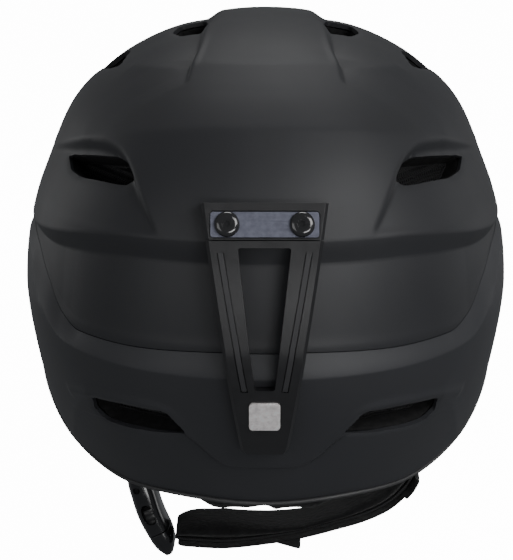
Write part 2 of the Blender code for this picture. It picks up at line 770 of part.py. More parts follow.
def padded_run(name, stations, first, last, side, half_thick, half_wide, material):
    """Soft bar on the inner (1) or the outer (-1) face of the webbing.

    half_thick is a number, or a function of x.
    """
    points = [p.copy() for p in stations[first:last + 1]]
    points[0] += (points[1] - points[0]).normalized() * 0.0004
    points[-1] += (points[-2] - points[-1]).normalized() * 0.0004
    tangents = path_frames(points)
    sections = []
    for i, (point, tangent) in enumerate(zip(points, tangents)):
        inward = tangent.cross(Y_AXIS).normalized()
        if inward.z < 0:
            inward.negate()
        at_end = i in (0, len(points) - 1)
        thick = half_thick(point.x) if callable(half_thick) else half_thick
        thick *= 0.75 if at_end else 1.0
        middle = point + inward * side * (STRAP_GAP + thick)
        wide = half_wide * (0.9 if at_end else 1.0)
        sections.append(oval_section(middle, Y_AXIS * wide, inward * thick, 14, 2.6))
    return loft(name, sections, material)


def build_chin_strap(mats):
    stations = smooth_path(STRAP_ROUTE, 3)
    across = [Y_AXIS * (WEB_WIDTH / 2)] * len(stations)
    ribbon("chin_webbing", stations, across, WEB_THICKNESS, mats["webbing"])
    padded_run("chin_pad", stations, 1, 17, 1, chin_pad_half, 0.015, mats["fleece"])
    padded_run("chin_pad_lining", stations, 1, 17, -1, 0.0008, 0.0145, mats["fleece"])
    padded_run("strap_sleeve", stations, 17, 25, 1, chin_pad_half, 0.015, mats["fleece"])
    padded_run("strap_sleeve_lining", stations, 17, 23, -1, 0.0010, 0.0145, mats["fleece"])
    padded_run("strap_cuff", stations, 23, 26, -1, 0.0018, 0.015, mats["fleece"])
    tail = [chin_vector(*p) for p in ((4.5, -148.4), (17.8, -145.6), (17.6, -151.7), (15.8, -151.7))]
    tail = [p - Y_AXIS * 0.008 for p in tail]
    prism("strap_tail", tail, Y_AXIS * 0.016, mats["webbing"])


def build_side_harness(side, letter, mats):
    """Front and rear strap legs, their yoke and the ring below it, on one side."""
    mirror = Matrix.Diagonal((side, 1, 1)).to_3x3()
    yoke = mirror @ YOKE_RIGHT
    for label, azimuth, height, offset, half_end in (("front", 126, -0.0530, (0.0065, 0.0068), 0.0050),
                                                     ("rear", 69, -0.0745, (-0.0095, 0.0090), 0.0042)):
        start = outer_base(azimuth, height)
        start = mirror @ (start + Vector((-start.x, -start.y, 0)).normalized() * 0.013)
        end = yoke + Vector((0.0, *offset))
        shares = (0.0, 0.35, 0.7, 1.0)
        bow = Vector((0.0030 * side, 0, 0))
        points = [start + (end - start) * t + bow * math.sin(math.pi * t) for t in shares]
        direction = (end - start).normalized()
        flat = direction.cross(Vector((side, 0, 0))).normalized()
        across = [flat * half for half in (0.0070, 0.0070, 0.0062, half_end)]
        ribbon(f"strap_leg_{label}_{letter}", points, across, 0.0016, mats["webbing"])
    face = [(-0.0130, 0.0026), (0.0130, 0.0026), (0.0130, 0.0), (0.0050, -0.0048), (-0.0050, -0.0048),
            (-0.0130, 0.0)]
    plate = plate_at("yoke_" + letter, yoke, face, side, -0.0013, 0.0013, mats["gloss"])
    face = [(-0.0045, 0.0038), (0.0045, 0.0038), (0.0052, 0.0), (0.0120, -0.0042), (0.0120, -0.0060),
            (-0.0120, -0.0060), (-0.0120, -0.0042), (-0.0052, 0.0)]
    link = plate_at("strap_link_" + letter, yoke, face, side, -0.0035, -0.0017, mats["gloss"])
    outward = Vector((side, 0, 0))
    hole = cylinder("rivet_hole_" + letter, yoke - outward * 0.006, outward, 0.0017, 0.012, 12, mats["steel"])
    cut(plate, hole)
    cut(link, hole)
    profile = ((-0.0048, 0.0026), (-0.0039, 0.0030), (-0.0039, 0.0014), (0.0017, 0.0014), (0.0017, 0.0030),
               (0.0026, 0.0025))
    sections = [oval_section(yoke + outward * d, Y_AXIS * r, Vector((0, 0, r)), 12, 2.0) for d, r in profile]
    loft("yoke_rivet_" + letter, sections, mats["steel"])


def plate_at(name, origin, face, side, first, last, material):
    """Flat plate across X, from a (y, z) outline about origin and two distances outward."""
    outline = [origin + Vector((first * side, y, z)) for y, z in face]
    return prism(name, outline, Vector(((last - first) * side, 0, 0)), material)


def build_rings(mats):
    down_right = (STRAP_ROUTE[-1] - RING_TOP).normalized()
    middle = RING_TOP + down_right * 0.0036
    ring_solid("ring_r", middle, Y_AXIS * 0.0125, down_right * 0.0036, 0.0011, mats["steel"])
    down_left = (LEFT_WEB[0] - LEFT_RING_TOP).normalized()
    middle = LEFT_RING_TOP + down_left * 0.0036
    ring_solid("ring_l", middle, Y_AXIS * 0.0125, down_left * 0.0036, 0.0011, mats["steel"])


LEFT_RING_TOP = Vector((-0.0809, STRAP_Y, -0.1021))
LEFT_WEB = [chin_vector(*p) for p in ((-71.9, -104.9), (-69.2, -105.7), (-66.8, -107.2), (-65.6, -109.2))]


# ---------------------------------------------------------------- buckle

BUCKLE_LINE = [chin_vector(*p) for p in ((-65.2, -109.9), (-64.2, -113.4), (-62.8, -118.2), (-61.0, -124),
                                         (-59.0, -131), (-56.6, -137.2), (-54.0, -142.6))]
TONGUE_LINE = [chin_vector(*p) for p in ((-53.8, -143.0), (-51.8, -147.2), (-49.9, -151.2), (-48.6, -154.6))]


def buckle_sections(line, widths, thicks, exponent=3.2, sides=20):
    sections = []
    for point, tangent, wide, thick in zip(line, path_frames(line), widths, thicks):
        normal = tangent.cross(Y_AXIS).normalized()
        sections.append(oval_section(point, Y_AXIS * wide, normal * thick, sides, exponent))
    return sections


def build_buckle(mats):
    ribbon("left_webbing", LEFT_WEB, [Y_AXIS * (WEB_WIDTH / 2)] * len(LEFT_WEB), WEB_THICKNESS, mats["webbing"])
    widths = (0.0125, 0.0130, 0.0132, 0.0134, 0.0134, 0.0132, 0.0128)
    thicks = (0.0040, 0.0056, 0.0064, 0.0066, 0.0066, 0.0064, 0.0062)
    housing = loft("buckle_housing", buckle_sections(BUCKLE_LINE, widths, thicks), mats["gloss"])
    inner_line = BUCKLE_LINE[3:] + [BUCKLE_LINE[-1] + (BUCKLE_LINE[-1] - BUCKLE_LINE[-2])]
    cavity = loft("buckle_cavity", buckle_sections(inner_line, [0.0118] * 5, [0.0049] * 5), mats["gloss"])
    cut(housing, cavity)
    window = [p - Y_AXIS * 0.02 for p in
              oval_section(chin_vector(-58.6, -132.4), Vector((0.0030, 0, 0.0006)),
                           Vector((-0.0018, 0, 0.0052)), 14, 2.6)]
    cut(housing, prism("buckle_side_window", window, Y_AXIS * 0.04, mats["gloss"]))
    hole = cylinder("buckle_eye", chin_vector(-64.6, -119.6) - Y_AXIS * 0.02, Y_AXIS, 0.0017, 0.04, 12,
                    mats["gloss"])
    cut(housing, hole)

    tongue_widths = (0.0128, 0.0126, 0.0118, 0.0100)
    tongue_thicks = (0.0062, 0.0058, 0.0046, 0.0022)
    tongue = loft("buckle_tongue", buckle_sections(TONGUE_LINE, tongue_widths, tongue_thicks), mats["gloss"])
    guide_line = [BUCKLE_LINE[4], BUCKLE_LINE[5], TONGUE_LINE[1]]
    guide = loft("tongue_guide", buckle_sections(guide_line, [0.0020, 0.0026, 0.0026], [0.0022, 0.0026, 0.0026]),
                 mats["gloss"])
    guide.hide_render = True
    guide.display_type = "WIRE"
    join = tongue.modifiers.new("join_guide", "BOOLEAN")
    join.operation = "UNION"
    join.solver = "EXACT"
    join.object = guide
    for side, label in ((-1, "rear"), (1, "front")):
        line = [BUCKLE_LINE[4] + (BUCKLE_LINE[4] - BUCKLE_LINE[5]) * 0.3, BUCKLE_LINE[4], BUCKLE_LINE[5],
                BUCKLE_LINE[6] + (BUCKLE_LINE[5] - BUCKLE_LINE[6]) * 0.06]
        places = (0.0080, 0.0094, 0.0092, 0.0080)
        halves = (0.0012, 0.0020, 0.0020, 0.0014)
        line = [p + Y_AXIS * (side * place) for p, place in zip(line, places)]
        loft("buckle_prong_" + label, buckle_sections(line, halves, (0.0026, 0.0034, 0.0034, 0.0026), 3.2, 12),
             mats["gloss"])


# ---------------------------------------------------------------- build

def main():
    clear_scene()
    mats = make_materials()
    upper = build_upper_shell(mats)
    lower = build_lower_shell(mats)
    foam = build_foam(mats)
    build_vents(upper, lower, foam, mats)
    build_rim_trim(mats)
    build_pads(mats)
    build_fit_system(mats)
    build_ear_pads(mats)
    build_retainer(mats)
    build_chin_strap(mats)
    for side, letter in ((-1, "l"), (1, "r")):
        build_side_harness(side, letter, mats)
    build_rings(mats)
    build_buckle(mats)


main()
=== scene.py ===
"""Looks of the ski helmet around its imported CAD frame.

Frame: +Z up, +Y towards the helmet's front, +X towards the wearer's right, metres.
Azimuths are in degrees from the rear centre line, positive towards +X.
"""
import math

import bmesh
import bpy
import numpy as np
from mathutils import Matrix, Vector


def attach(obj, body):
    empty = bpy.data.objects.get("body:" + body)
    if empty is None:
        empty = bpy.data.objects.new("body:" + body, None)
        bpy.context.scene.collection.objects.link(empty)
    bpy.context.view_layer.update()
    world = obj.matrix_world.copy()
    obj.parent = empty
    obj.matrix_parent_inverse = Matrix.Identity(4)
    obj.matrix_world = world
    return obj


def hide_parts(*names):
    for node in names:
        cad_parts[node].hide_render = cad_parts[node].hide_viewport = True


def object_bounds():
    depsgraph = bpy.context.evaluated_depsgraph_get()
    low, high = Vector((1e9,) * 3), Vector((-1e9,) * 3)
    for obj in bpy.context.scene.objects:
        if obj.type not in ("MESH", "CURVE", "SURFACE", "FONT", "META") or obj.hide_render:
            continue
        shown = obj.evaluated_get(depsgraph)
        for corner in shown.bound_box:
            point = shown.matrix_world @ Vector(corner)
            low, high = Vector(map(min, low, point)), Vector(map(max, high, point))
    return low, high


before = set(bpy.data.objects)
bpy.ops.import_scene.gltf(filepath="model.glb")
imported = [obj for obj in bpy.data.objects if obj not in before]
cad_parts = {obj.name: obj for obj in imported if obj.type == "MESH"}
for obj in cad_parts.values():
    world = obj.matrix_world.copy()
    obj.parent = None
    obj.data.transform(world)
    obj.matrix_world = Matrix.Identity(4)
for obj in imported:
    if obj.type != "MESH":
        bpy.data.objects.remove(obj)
cad_low, cad_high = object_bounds()
MM = 0.001

# ---------------------------------------------------------------- camera, light and floor

CAMERA_TARGET = Vector((-0.0044, 0.0, -0.0056))
CAMERA_DISTANCE = 1.4
CAMERA_ELEVATION = math.radians(15)
CAMERA_AZIMUTH = math.radians(0.35)
LENS = 186                  # mm, on a sensor 36 mm wide
SENSOR_WIDTH = 36
FLOOR_HALF = 9
FLOOR_DROP = 0.003
FLOOR_GLOW = 14
AMBIENT = 0.19
LIGHT_DISTANCE = 1.9
# Softboxes as (name, azimuth, elevation, size, watts).
LIGHTS = (("key_right", 42, 30, (1.3, 1.0), 27), ("key_low", 20, -4, (1.0, 0.5), 15),
          ("fill_left", -40, 8, (1.3, 1.0), 6.5), ("rim_right", 125, 5, (0.5, 1.2), 2.5),
          ("rim_left", -125, 5, (0.5, 1.2), 5), ("top_box", 175, 60, (1.0, 0.5), 11))


def add_object(name, data):
    """New object in the scene."""
    made = bpy.data.objects.new(name, data)
    bpy.context.scene.collection.objects.link(made)
    return made


def make_camera():
    data = bpy.data.cameras.new("camera")
    data.lens = LENS
    data.sensor_width = SENSOR_WIDTH
    camera = add_object("camera", data)
    level = math.cos(CAMERA_ELEVATION)
    back = Vector((level * math.sin(CAMERA_AZIMUTH), -level * math.cos(CAMERA_AZIMUTH),
                   math.sin(CAMERA_ELEVATION)))
    camera.location = CAMERA_TARGET + back * CAMERA_DISTANCE
    camera.rotation_euler = (math.pi / 2 - CAMERA_ELEVATION, 0, CAMERA_AZIMUTH)
    bpy.context.scene.camera = camera


def area_light(name, location, size, energy):
    """Softbox aimed at the origin."""
    data = bpy.data.lights.new(name, "AREA")
    data.shape = "RECTANGLE"
    data.size, data.size_y = size
    data.energy = energy
    light = add_object(name, data)
    light.location = location
    light.rotation_euler = (-location).to_track_quat("-Z", "Y").to_euler()


def make_stage():
    world = bpy.data.worlds.new("studio")
    world.use_nodes = True
    world.node_tree.nodes["Background"].inputs["Color"].default_value = (0.93, 0.96, 1, 1)
    world.node_tree.nodes["Background"].inputs["Strength"].default_value = AMBIENT
    bpy.context.scene.world = world
    floor_mesh = bpy.data.meshes.new("floor")
    corners = [(FLOOR_HALF * x, FLOOR_HALF * y, 0) for x, y in ((-1, -1), (1, -1), (1, 1), (-1, 1))]
    floor_mesh.from_pydata(corners, [], [(0, 1, 2, 3)])
    floor = add_object("floor", floor_mesh)
    floor.location.z = cad_low.z - FLOOR_DROP
    floor.visible_diffuse = False
    floor.visible_glossy = False
    material = bpy.data.materials.new("pale_floor")
    material.use_nodes = True
    shader = material.node_tree.nodes["Principled BSDF"]
    shader.inputs["Base Color"].default_value = (0.9, 0.9, 0.9, 1)
    shader.inputs["Roughness"].default_value = 0.9
    shader.inputs["Emission Color"].default_value = (1, 1, 1, 1)
    shader.inputs["Emission Strength"].default_value = FLOOR_GLOW
    floor_mesh.materials.append(material)
    for name, azimuth, elevation, size, energy in LIGHTS:
        a = math.radians(azimuth)
        e = math.radians(elevation)
        toward = Vector((math.sin(a) * math.cos(e), -math.cos(a) * math.cos(e), math.sin(e)))
        area_light(name, toward * LIGHT_DISTANCE, size, energy)


make_camera()
make_stage()

# ---------------------------------------------------------------- materials


def new_material(name, color, roughness, metallic=0.0, specular=0.5, coat=0.0, sheen=0.0):
    material = bpy.data.materials.new(name)
    material.use_nodes = True
    shader = material.node_tree.nodes["Principled BSDF"]
    shader.inputs["Base Color"].default_value = (*color, 1)
    shader.inputs["Roughness"].default_value = roughness
    shader.inputs["Metallic"].default_value = metallic
    shader.inputs["Specular IOR Level"].default_value = specular
    shader.inputs["Coat Weight"].default_value = coat
    shader.inputs["Coat Roughness"].default_value = 0.12
    shader.inputs["Sheen Weight"].default_value = sheen
    shader.inputs["Sheen Roughness"].default_value = 0.5
    return material, material.node_tree, shader


def noise_node(tree, scale, detail=2.0, roughness=0.5):
    place = tree.nodes.new("ShaderNodeTexCoord")
    noise = tree.nodes.new("ShaderNodeTexNoise")
    noise.inputs["Scale"].default_value = scale
    noise.inputs["Detail"].default_value = detail
    noise.inputs["Roughness"].default_value = roughness
    tree.links.new(place.outputs["Object"], noise.inputs["Vector"])
    return noise


def vary(tree, socket, source, low, high):
    """Varies a shader socket between two values by a 0..1 texture."""
    spread = tree.nodes.new("ShaderNodeMapRange")
    spread.inputs["From Min"].default_value = 0.3
    spread.inputs["From Max"].default_value = 0.7
    spread.inputs["To Min"].default_value = low
    spread.inputs["To Max"].default_value = high
    tree.links.new(source, spread.inputs["Value"])
    tree.links.new(spread.outputs["Result"], socket)


def tint(tree, shader, source, dark, light):
    """Colours the surface between two colours by a 0..1 texture."""
    ramp = tree.nodes.new("ShaderNodeValToRGB")
    ramp.color_ramp.elements[0].position = 0.3
    ramp.color_ramp.elements[0].color = (*dark, 1)
    ramp.color_ramp.elements[1].position = 0.7
    ramp.color_ramp.elements[1].color = (*light, 1)
    tree.links.new(source, ramp.inputs["Fac"])
    tree.links.new(ramp.outputs["Color"], shader.inputs["Base Color"])


def bump(tree, shader, source, strength, distance, below=None):
    """Adds a bump layer; below is the bump it lies on."""
    node = tree.nodes.new("ShaderNodeBump")
    node.inputs["Strength"].default_value = strength
    node.inputs["Distance"].default_value = distance
    tree.links.new(source, node.inputs["Height"])
    if below is not None:
        tree.links.new(below.outputs["Normal"], node.inputs["Normal"])
    tree.links.new(node.outputs["Normal"], shader.inputs["Normal"])
    return node


def shaded(color, factor):
    return tuple(c * factor for c in color)


def soft_touch(name, color, roughness, specular):
    """Matt rubberised paint over moulded plastic: fine grain, faint handling marks."""
    material, tree, shader = new_material(name, color, roughness, 0.0, specular)
    marks = noise_node(tree, 18, 4, 0.6)
    tint(tree, shader, marks.outputs["Fac"], shaded(color, 0.93), shaded(color, 1.07))
    vary(tree, shader.inputs["Roughness"], marks.outputs["Fac"], roughness - 0.03, roughness + 0.04)
    fine = noise_node(tree, 2600, 2, 0.5)
    bump(tree, shader, fine.outputs["Fac"], 0.25, 0.0002)
    return material


def moulded(name, color, roughness, specular=0.45, coat=0.0, grain=1400, strength=0.15):
    """Moulded plastic or rubber, blackened metal: fine grain and faint scuffs in the gloss."""
    material, tree, shader = new_material(name, color, roughness, 0.0, specular, coat)
    scuffs = noise_node(tree, 160, 5, 0.65)
    tint(tree, shader, scuffs.outputs["Fac"], shaded(color, 0.9), shaded(color, 1.12))
    vary(tree, shader.inputs["Roughness"], scuffs.outputs["Fac"], roughness - 0.05, roughness + 0.06)
    fine = noise_node(tree, grain, 2, 0.5)
    bump(tree, shader, fine.outputs["Fac"], strength, 0.0002)
    return material


def brushed(name, color, roughness):
    """Metal sheet brushed along X, with a little mottling."""
    material, tree, shader = new_material(name, color, roughness, 0.85)
    place = tree.nodes.new("ShaderNodeTexCoord")
    stretch = tree.nodes.new("ShaderNodeMapping")
    stretch.inputs["Scale"].default_value = (60, 3000, 3000)
    noise = tree.nodes.new("ShaderNodeTexNoise")
    noise.inputs["Scale"].default_value = 1.0
    noise.inputs["Detail"].default_value = 3
    tree.links.new(place.outputs["Object"], stretch.inputs["Vector"])
    tree.links.new(stretch.outputs["Vector"], noise.inputs["Vector"])
    mottle = noise_node(tree, 420, 3, 0.6)
    tint(tree, shader, mottle.outputs["Fac"], shaded(color, 0.82), shaded(color, 1.15))
    vary(tree, shader.inputs["Roughness"], noise.outputs["Fac"], roughness - 0.08, roughness + 0.10)
    bump(tree, shader, noise.outputs["Fac"], 0.12, 0.0001)
    return material


def fleece(name, color):
    """Short-pile fleece: tufts over fine fibre."""
    material, tree, shader = new_material(name, color, 0.95, 0.0, 0.15, 0.0, 0.10)
    tufts = noise_node(tree, 420, 4, 0.7)
    tint(tree, shader, tufts.outputs["Fac"], shaded(color, 0.6), shaded(color, 1.5))
    low = bump(tree, shader, tufts.outputs["Fac"], 0.8, 0.0012)
    fibre = noise_node(tree, 2400, 3, 0.7)
    bump(tree, shader, fibre.outputs["Fac"], 0.5, 0.0003, low)
    return material


def foam_material(name, color):
    """Moulded bead foam: pale cell walls between flattened beads."""
    material, tree, shader = new_material(name, color, 0.8, 0.0, 0.3)
    place = tree.nodes.new("ShaderNodeTexCoord")
    cells = tree.nodes.new("ShaderNodeTexVoronoi")
    cells.inputs["Scale"].default_value = 330
    tree.links.new(place.outputs["Object"], cells.inputs["Vector"])
    tint(tree, shader, cells.outputs["Distance"], shaded(color, 1.3), shaded(color, 0.7))
    bump(tree, shader, cells.outputs["Distance"], 0.5, 0.0005).invert = True
    return material


def woven(name, color, rib=0.0011, strand=0.0006):
    """Polyester webbing from its UV map in metres: ribs across the strap, strands along it."""
    material, tree, shader = new_material(name, color, 0.7, 0.0, 0.3, 0.0, 0.05)
    place = tree.nodes.new("ShaderNodeTexCoord")
    layers = []
    for direction, pitch in (("X", rib), ("Y", strand)):
        wave = tree.nodes.new("ShaderNodeTexWave")
        wave.bands_direction = direction
        wave.inputs["Scale"].default_value = 0.314 / pitch
        wave.inputs["Distortion"].default_value = 0.6
        wave.inputs["Detail"].default_value = 1
        tree.links.new(place.outputs["UV"], wave.inputs["Vector"])
        layers.append(wave)
    weave = tree.nodes.new("ShaderNodeMath")
    weave.operation = "MULTIPLY"
    tree.links.new(layers[0].outputs["Fac"], weave.inputs[0])
    tree.links.new(layers[1].outputs["Fac"], weave.inputs[1])
    tint(tree, shader, weave.outputs["Value"], shaded(color, 0.6), shaded(color, 1.6))
    bump(tree, shader, weave.outputs["Value"], 0.7, 0.0003)
    return material


SHELL_COLOR = (0.0155, 0.016, 0.0182)
MAT = {
    "upper": soft_touch("upper_shell_paint", SHELL_COLOR, 0.54, 0.42),
    # The lower shell's colour is the upper shell's made 1.35 times lighter: painted light, making up for the
    # lamp light that falls short on the lower cup.
    "lower": soft_touch("lower_shell_paint_with_painted_light", shaded(SHELL_COLOR, 1.35), 0.54, 0.45),
    "foam": foam_material("bead_foam", (0.006, 0.006, 0.0062)),
    "trim": moulded("rim_rubber", (0.03, 0.03, 0.031), 0.5, 0.4),
    "retainer": moulded("retainer_rubber", (0.0095, 0.0095, 0.0105), 0.40, 0.5),
    "inlay": moulded("inlay_rubber", (0.022, 0.022, 0.024), 0.5, 0.4),
    "plate": brushed("plate_metal", (0.14, 0.145, 0.185), 0.42),
    "steel": moulded("black_steel", (0.012, 0.012, 0.013), 0.16, 0.6, 0.4, 900, 0.05),
    "badge": brushed("badge_metal", (0.97, 0.93, 0.92), 0.62),
    "fleece": fleece("black_fleece", (0.0045, 0.0045, 0.0048)),
    "lining": fleece("lining_fabric", (0.0070, 0.0070, 0.0074)),
    "webbing": woven("black_webbing", (0.010, 0.010, 0.011)),
    "gloss": moulded("buckle_plastic", (0.0075, 0.0077, 0.009), 0.20, 0.5, 0.3, 700, 0.05),
    "plastic": moulded("hard_plastic", (0.012, 0.012, 0.013), 0.38),
    "mesh": moulded("vent_mesh_plastic", (0.008, 0.008, 0.0085), 0.55, 0.3),
}

# ---------------------------------------------------------------- outer form

HALF_WIDTH = 0.1145
REAR_REACH = 0.139
FRONT_REACH = 0.142
CROWN_HEIGHT = 0.1244
NAPE_DEPTH = 0.088
PLAN_EXPONENT = 2.19
SIDE_EXPONENT = 2.08
SHELL_THICKNESS = 0.0021
SHELL_JOINT_GAP = 0.0005
CHANNEL_DEPTH = 0.0050
LOWER_SHELL_END = 135
CAVITY_HALF_WIDTH = 0.086
CAVITY_REAR = 0.108
CAVITY_FRONT = 0.113
CAVITY_HEIGHT = 0.096
SIDES = (("l", -1), ("r", 1))

# Heights as (azimuth, mm), the same on both sides.
RIM = ((0, -88), (25, -85), (40, -84), (65, -71), (95, -48), (125, -50), (150, -22), (180, -12))
OVERHANG_EDGE = ((0, 47.9), (12, 47.1), (27, 45.9), (38, 42.9), (54, 37.4), (72, 33.5), (110, 34), (180, 34))
OVERHANG_FOOT = ((0, 37), (12, 37.2), (27, 36.6), (42, 33.6), (59, 30.5), (72, 30.8), (110, 31), (180, 31))
SEAM = ((0, -4.2), (7, -4), (30, -5.8), (43, -5.6), (50, 0.5), (57, 13), (67, 25.5), (76, 29), (106, 29),
        (116, 12), (126, -22), (136, -46), (180, -46))
BAND_FOOT = ((0, -15.2), (23, -14.4), (36, -13.3), (48, -11), (60, 3), (68, 19), (77, 23.5), (106, 23.5),
             (116, 5), (126, -28), (136, -46), (180, -46))


def through(table, at, scale=MM):
    """Smooth curve without overshoot through an (x, value) table."""
    knots = np.array(table, float)
    x = knots[:, 0]
    y = knots[:, 1] * scale
    step = np.diff(x)
    slope = np.diff(y) / step
    tangent = np.zeros(len(x))
    same = slope[:-1] * slope[1:] > 0
    tangent[1:-1][same] = 2 / (1 / slope[:-1][same] + 1 / slope[1:][same])
    at = np.clip(at, x[0], x[-1])
    i = np.clip(np.searchsorted(x, at, side="right") - 1, 0, len(x) - 2)
    t = (at - x[i]) / step[i]
    return (y[i] * (1 + 2 * t) * (1 - t) ** 2 + tangent[i] * step[i] * t * (1 - t) ** 2
            + y[i + 1] * t * t * (3 - 2 * t) + tangent[i + 1] * step[i] * t * t * (t - 1))


def from_rear(azimuth):
    """Angle from the rear centre line, 0 to 180, on either side."""
    return np.abs((azimuth + 180) % 360 - 180)


def height_at(table, azimuth):
    return through(table, from_rear(azimuth))


def ease(t):
    t = np.clip(t, 0, 1)
    return t * t * (3 - 2 * t)


def plan_radius(azimuth, half_width, rear, front):
    s = np.abs(np.sin(np.radians(azimuth)))
    c = np.cos(np.radians(azimuth))
    reach = np.where(c > 0, rear, front)
    return ((s / half_width) ** PLAN_EXPONENT + (np.abs(c) / reach) ** PLAN_EXPONENT) ** (-1 / PLAN_EXPONENT)


def outer_base(azimuth, z):
    """Points of the plain outer form."""
    azimuth, z = np.broadcast_arrays(np.asarray(azimuth, float), np.asarray(z, float))
    c = np.cos(np.radians(azimuth))
    s = np.sin(np.radians(azimuth))
    exponent = SIDE_EXPONENT + 0.40 * np.maximum(c, 0) ** 2 + 0.20 * np.maximum(-c, 0) ** 2
    above = np.clip(1 - (np.clip(z, 0, None) / CROWN_HEIGHT) ** exponent, 0, None) ** (1 / exponent)
    below = 1 - (0.129 + 0.212 * np.maximum(c, 0)) * (np.clip(-z, 0, None) / NAPE_DEPTH) ** 1.46
    radius = plan_radius(azimuth, HALF_WIDTH, REAR_REACH, FRONT_REACH) * np.where(z >= 0, above, below)
    side = np.exp(-((from_rear(azimuth) - 95) / 42) ** 2)
    fade = ease((0.1225 - z) / 0.010)
    radius = radius + 0.0045 * side * np.exp(-((z - 0.088) / 0.020) ** 2) * fade
    return np.stack([radius * s, -radius * c, z], -1)


def cavity_point(azimuth, z):
    """Points of the foam liner's inner face."""
    azimuth, z = np.broadcast_arrays(np.asarray(azimuth, float), np.asarray(z, float))
    c = np.cos(np.radians(azimuth))
    s = np.sin(np.radians(azimuth))
    above = np.clip(1 - (np.clip(z, 0, None) / CAVITY_HEIGHT) ** 2.15, 0, None) ** (1 / 2.15)
    below = 1 - (0.06 + 0.22 * np.maximum(c, 0)) * (np.clip(-z, 0, None) / NAPE_DEPTH) ** 1.5
    reach = plan_radius(azimuth, CAVITY_HALF_WIDTH, CAVITY_REAR, CAVITY_FRONT)
    radius = reach * np.where(z >= 0, above, below)
    return np.stack([radius * s, -radius * c, z], -1)


def normals_of(surface, azimuth, z):
    step = 0.0005
    along = surface(azimuth + 0.5, z) - surface(azimuth - 0.5, z)
    up = surface(azimuth, z + step) - surface(azimuth, z - step)
    normal = np.cross(along, up)
    return normal / np.linalg.norm(normal, axis=-1, keepdims=True)


def offset_points(surface, azimuth, z, offset):
    return surface(azimuth, z) + normals_of(surface, azimuth, z) * np.asarray(offset)[..., None]


def oval(centre, half_u, half_v, sides, exponent):
    """Loop on a rounded rectangle spanned by two half-axis vectors."""
    angle = 2 * math.pi * np.arange(sides) / sides
    c, s = np.cos(angle), np.sin(angle)
    u = np.sign(c) * np.abs(c) ** (2 / exponent)
    v = np.sign(s) * np.abs(s) ** (2 / exponent)
    return np.asarray(centre) + u[:, None] * np.asarray(half_u) + v[:, None] * np.asarray(half_v)


def line_distance(points, line, closed=False):
    """Distance from each point to a polyline in space."""
    line = np.asarray(line, float)
    ends = np.roll(line, -1, 0) if closed else line[1:]
    starts = line if closed else line[:-1]
    flat = points.reshape(-1, 3)
    best = np.full(len(flat), 1e9)
    for a, b in zip(starts, ends):
        d = b - a
        t = np.clip((flat - a) @ d / max(d @ d, 1e-18), 0, 1)
        best = np.minimum(best, np.linalg.norm(flat - a - t[:, None] * d, axis=1))
    return best.reshape(points.shape[:-1])


def inside(u, v, polygon):
    """Which (u, v) points lie in a polygon."""
    result = np.zeros(np.shape(u), bool)
    count = len(polygon)
    for i in range(count):
        (u0, v0), (u1, v1) = polygon[i], polygon[(i + 1) % count]
        crosses = (v0 > v) != (v1 > v)
        with np.errstate(divide="ignore", invalid="ignore"):
            at = u0 + (v - v0) / (v1 - v0) * (u1 - u0) if v1 != v0 else np.inf
        result ^= crosses & (u < at)
    return result


def spline(points, per_span):
    """Points on a smooth open curve through the given points, of any dimension."""
    p = np.array(points, float)
    n = len(p)
    out = []
    for i in range(n - 1):
        a, b, c, d = p[max(i - 1, 0)], p[i], p[i + 1], p[min(i + 2, n - 1)]
        for k in range(per_span):
            t = k / per_span
            out.append(0.5 * (2 * b + (c - a) * t + (2 * a - 5 * b + 4 * c - d) * t * t
                              + (3 * b - a - 3 * c + d) * t ** 3))
    out.append(p[-1])
    return np.array(out)


def cornered(points, cut_back, steps):
    """Closed outline with each corner replaced by a curve; cut_back gives its reach along an edge."""
    p = np.array(points, float)
    out = []
    for before, corner, after in zip(np.roll(p, 1, 0), p, np.roll(p, -1, 0)):
        a = corner + cut_back(before - corner)
        b = corner + cut_back(after - corner)
        for t in np.linspace(0, 1, steps + 1):
            out.append(a * (1 - t) ** 2 + 2 * corner * t * (1 - t) + b * t * t)
    return np.array(out)


def rounded(points, share=0.17, steps=6):
    """Closed outline with corners that take a share of both edges."""
    return cornered(points, lambda edge: edge * share, steps)


def filleted(points, radius, steps=5):
    """Closed outline with corners that start at the same distance on both edges."""
    return cornered(points, lambda edge: edge / np.linalg.norm(edge) * radius, steps)


# ---------------------------------------------------------------- mesh helpers


def add_mesh(name, verts, faces, material, sharp=None):
    mesh = bpy.data.meshes.new(name)
    mesh.from_pydata([tuple(v) for v in np.asarray(verts)], [], faces)
    bm = bmesh.new()
    bm.from_mesh(mesh)
    bmesh.ops.recalc_face_normals(bm, faces=bm.faces)
    bm.to_mesh(mesh)
    bm.free()
    mesh.shade_smooth()
    if sharp:
        mesh.set_sharp_from_angle(angle=math.radians(sharp))
    piece = add_object(name, mesh)
    if material is not None:
        mesh.materials.append(material)
    return piece


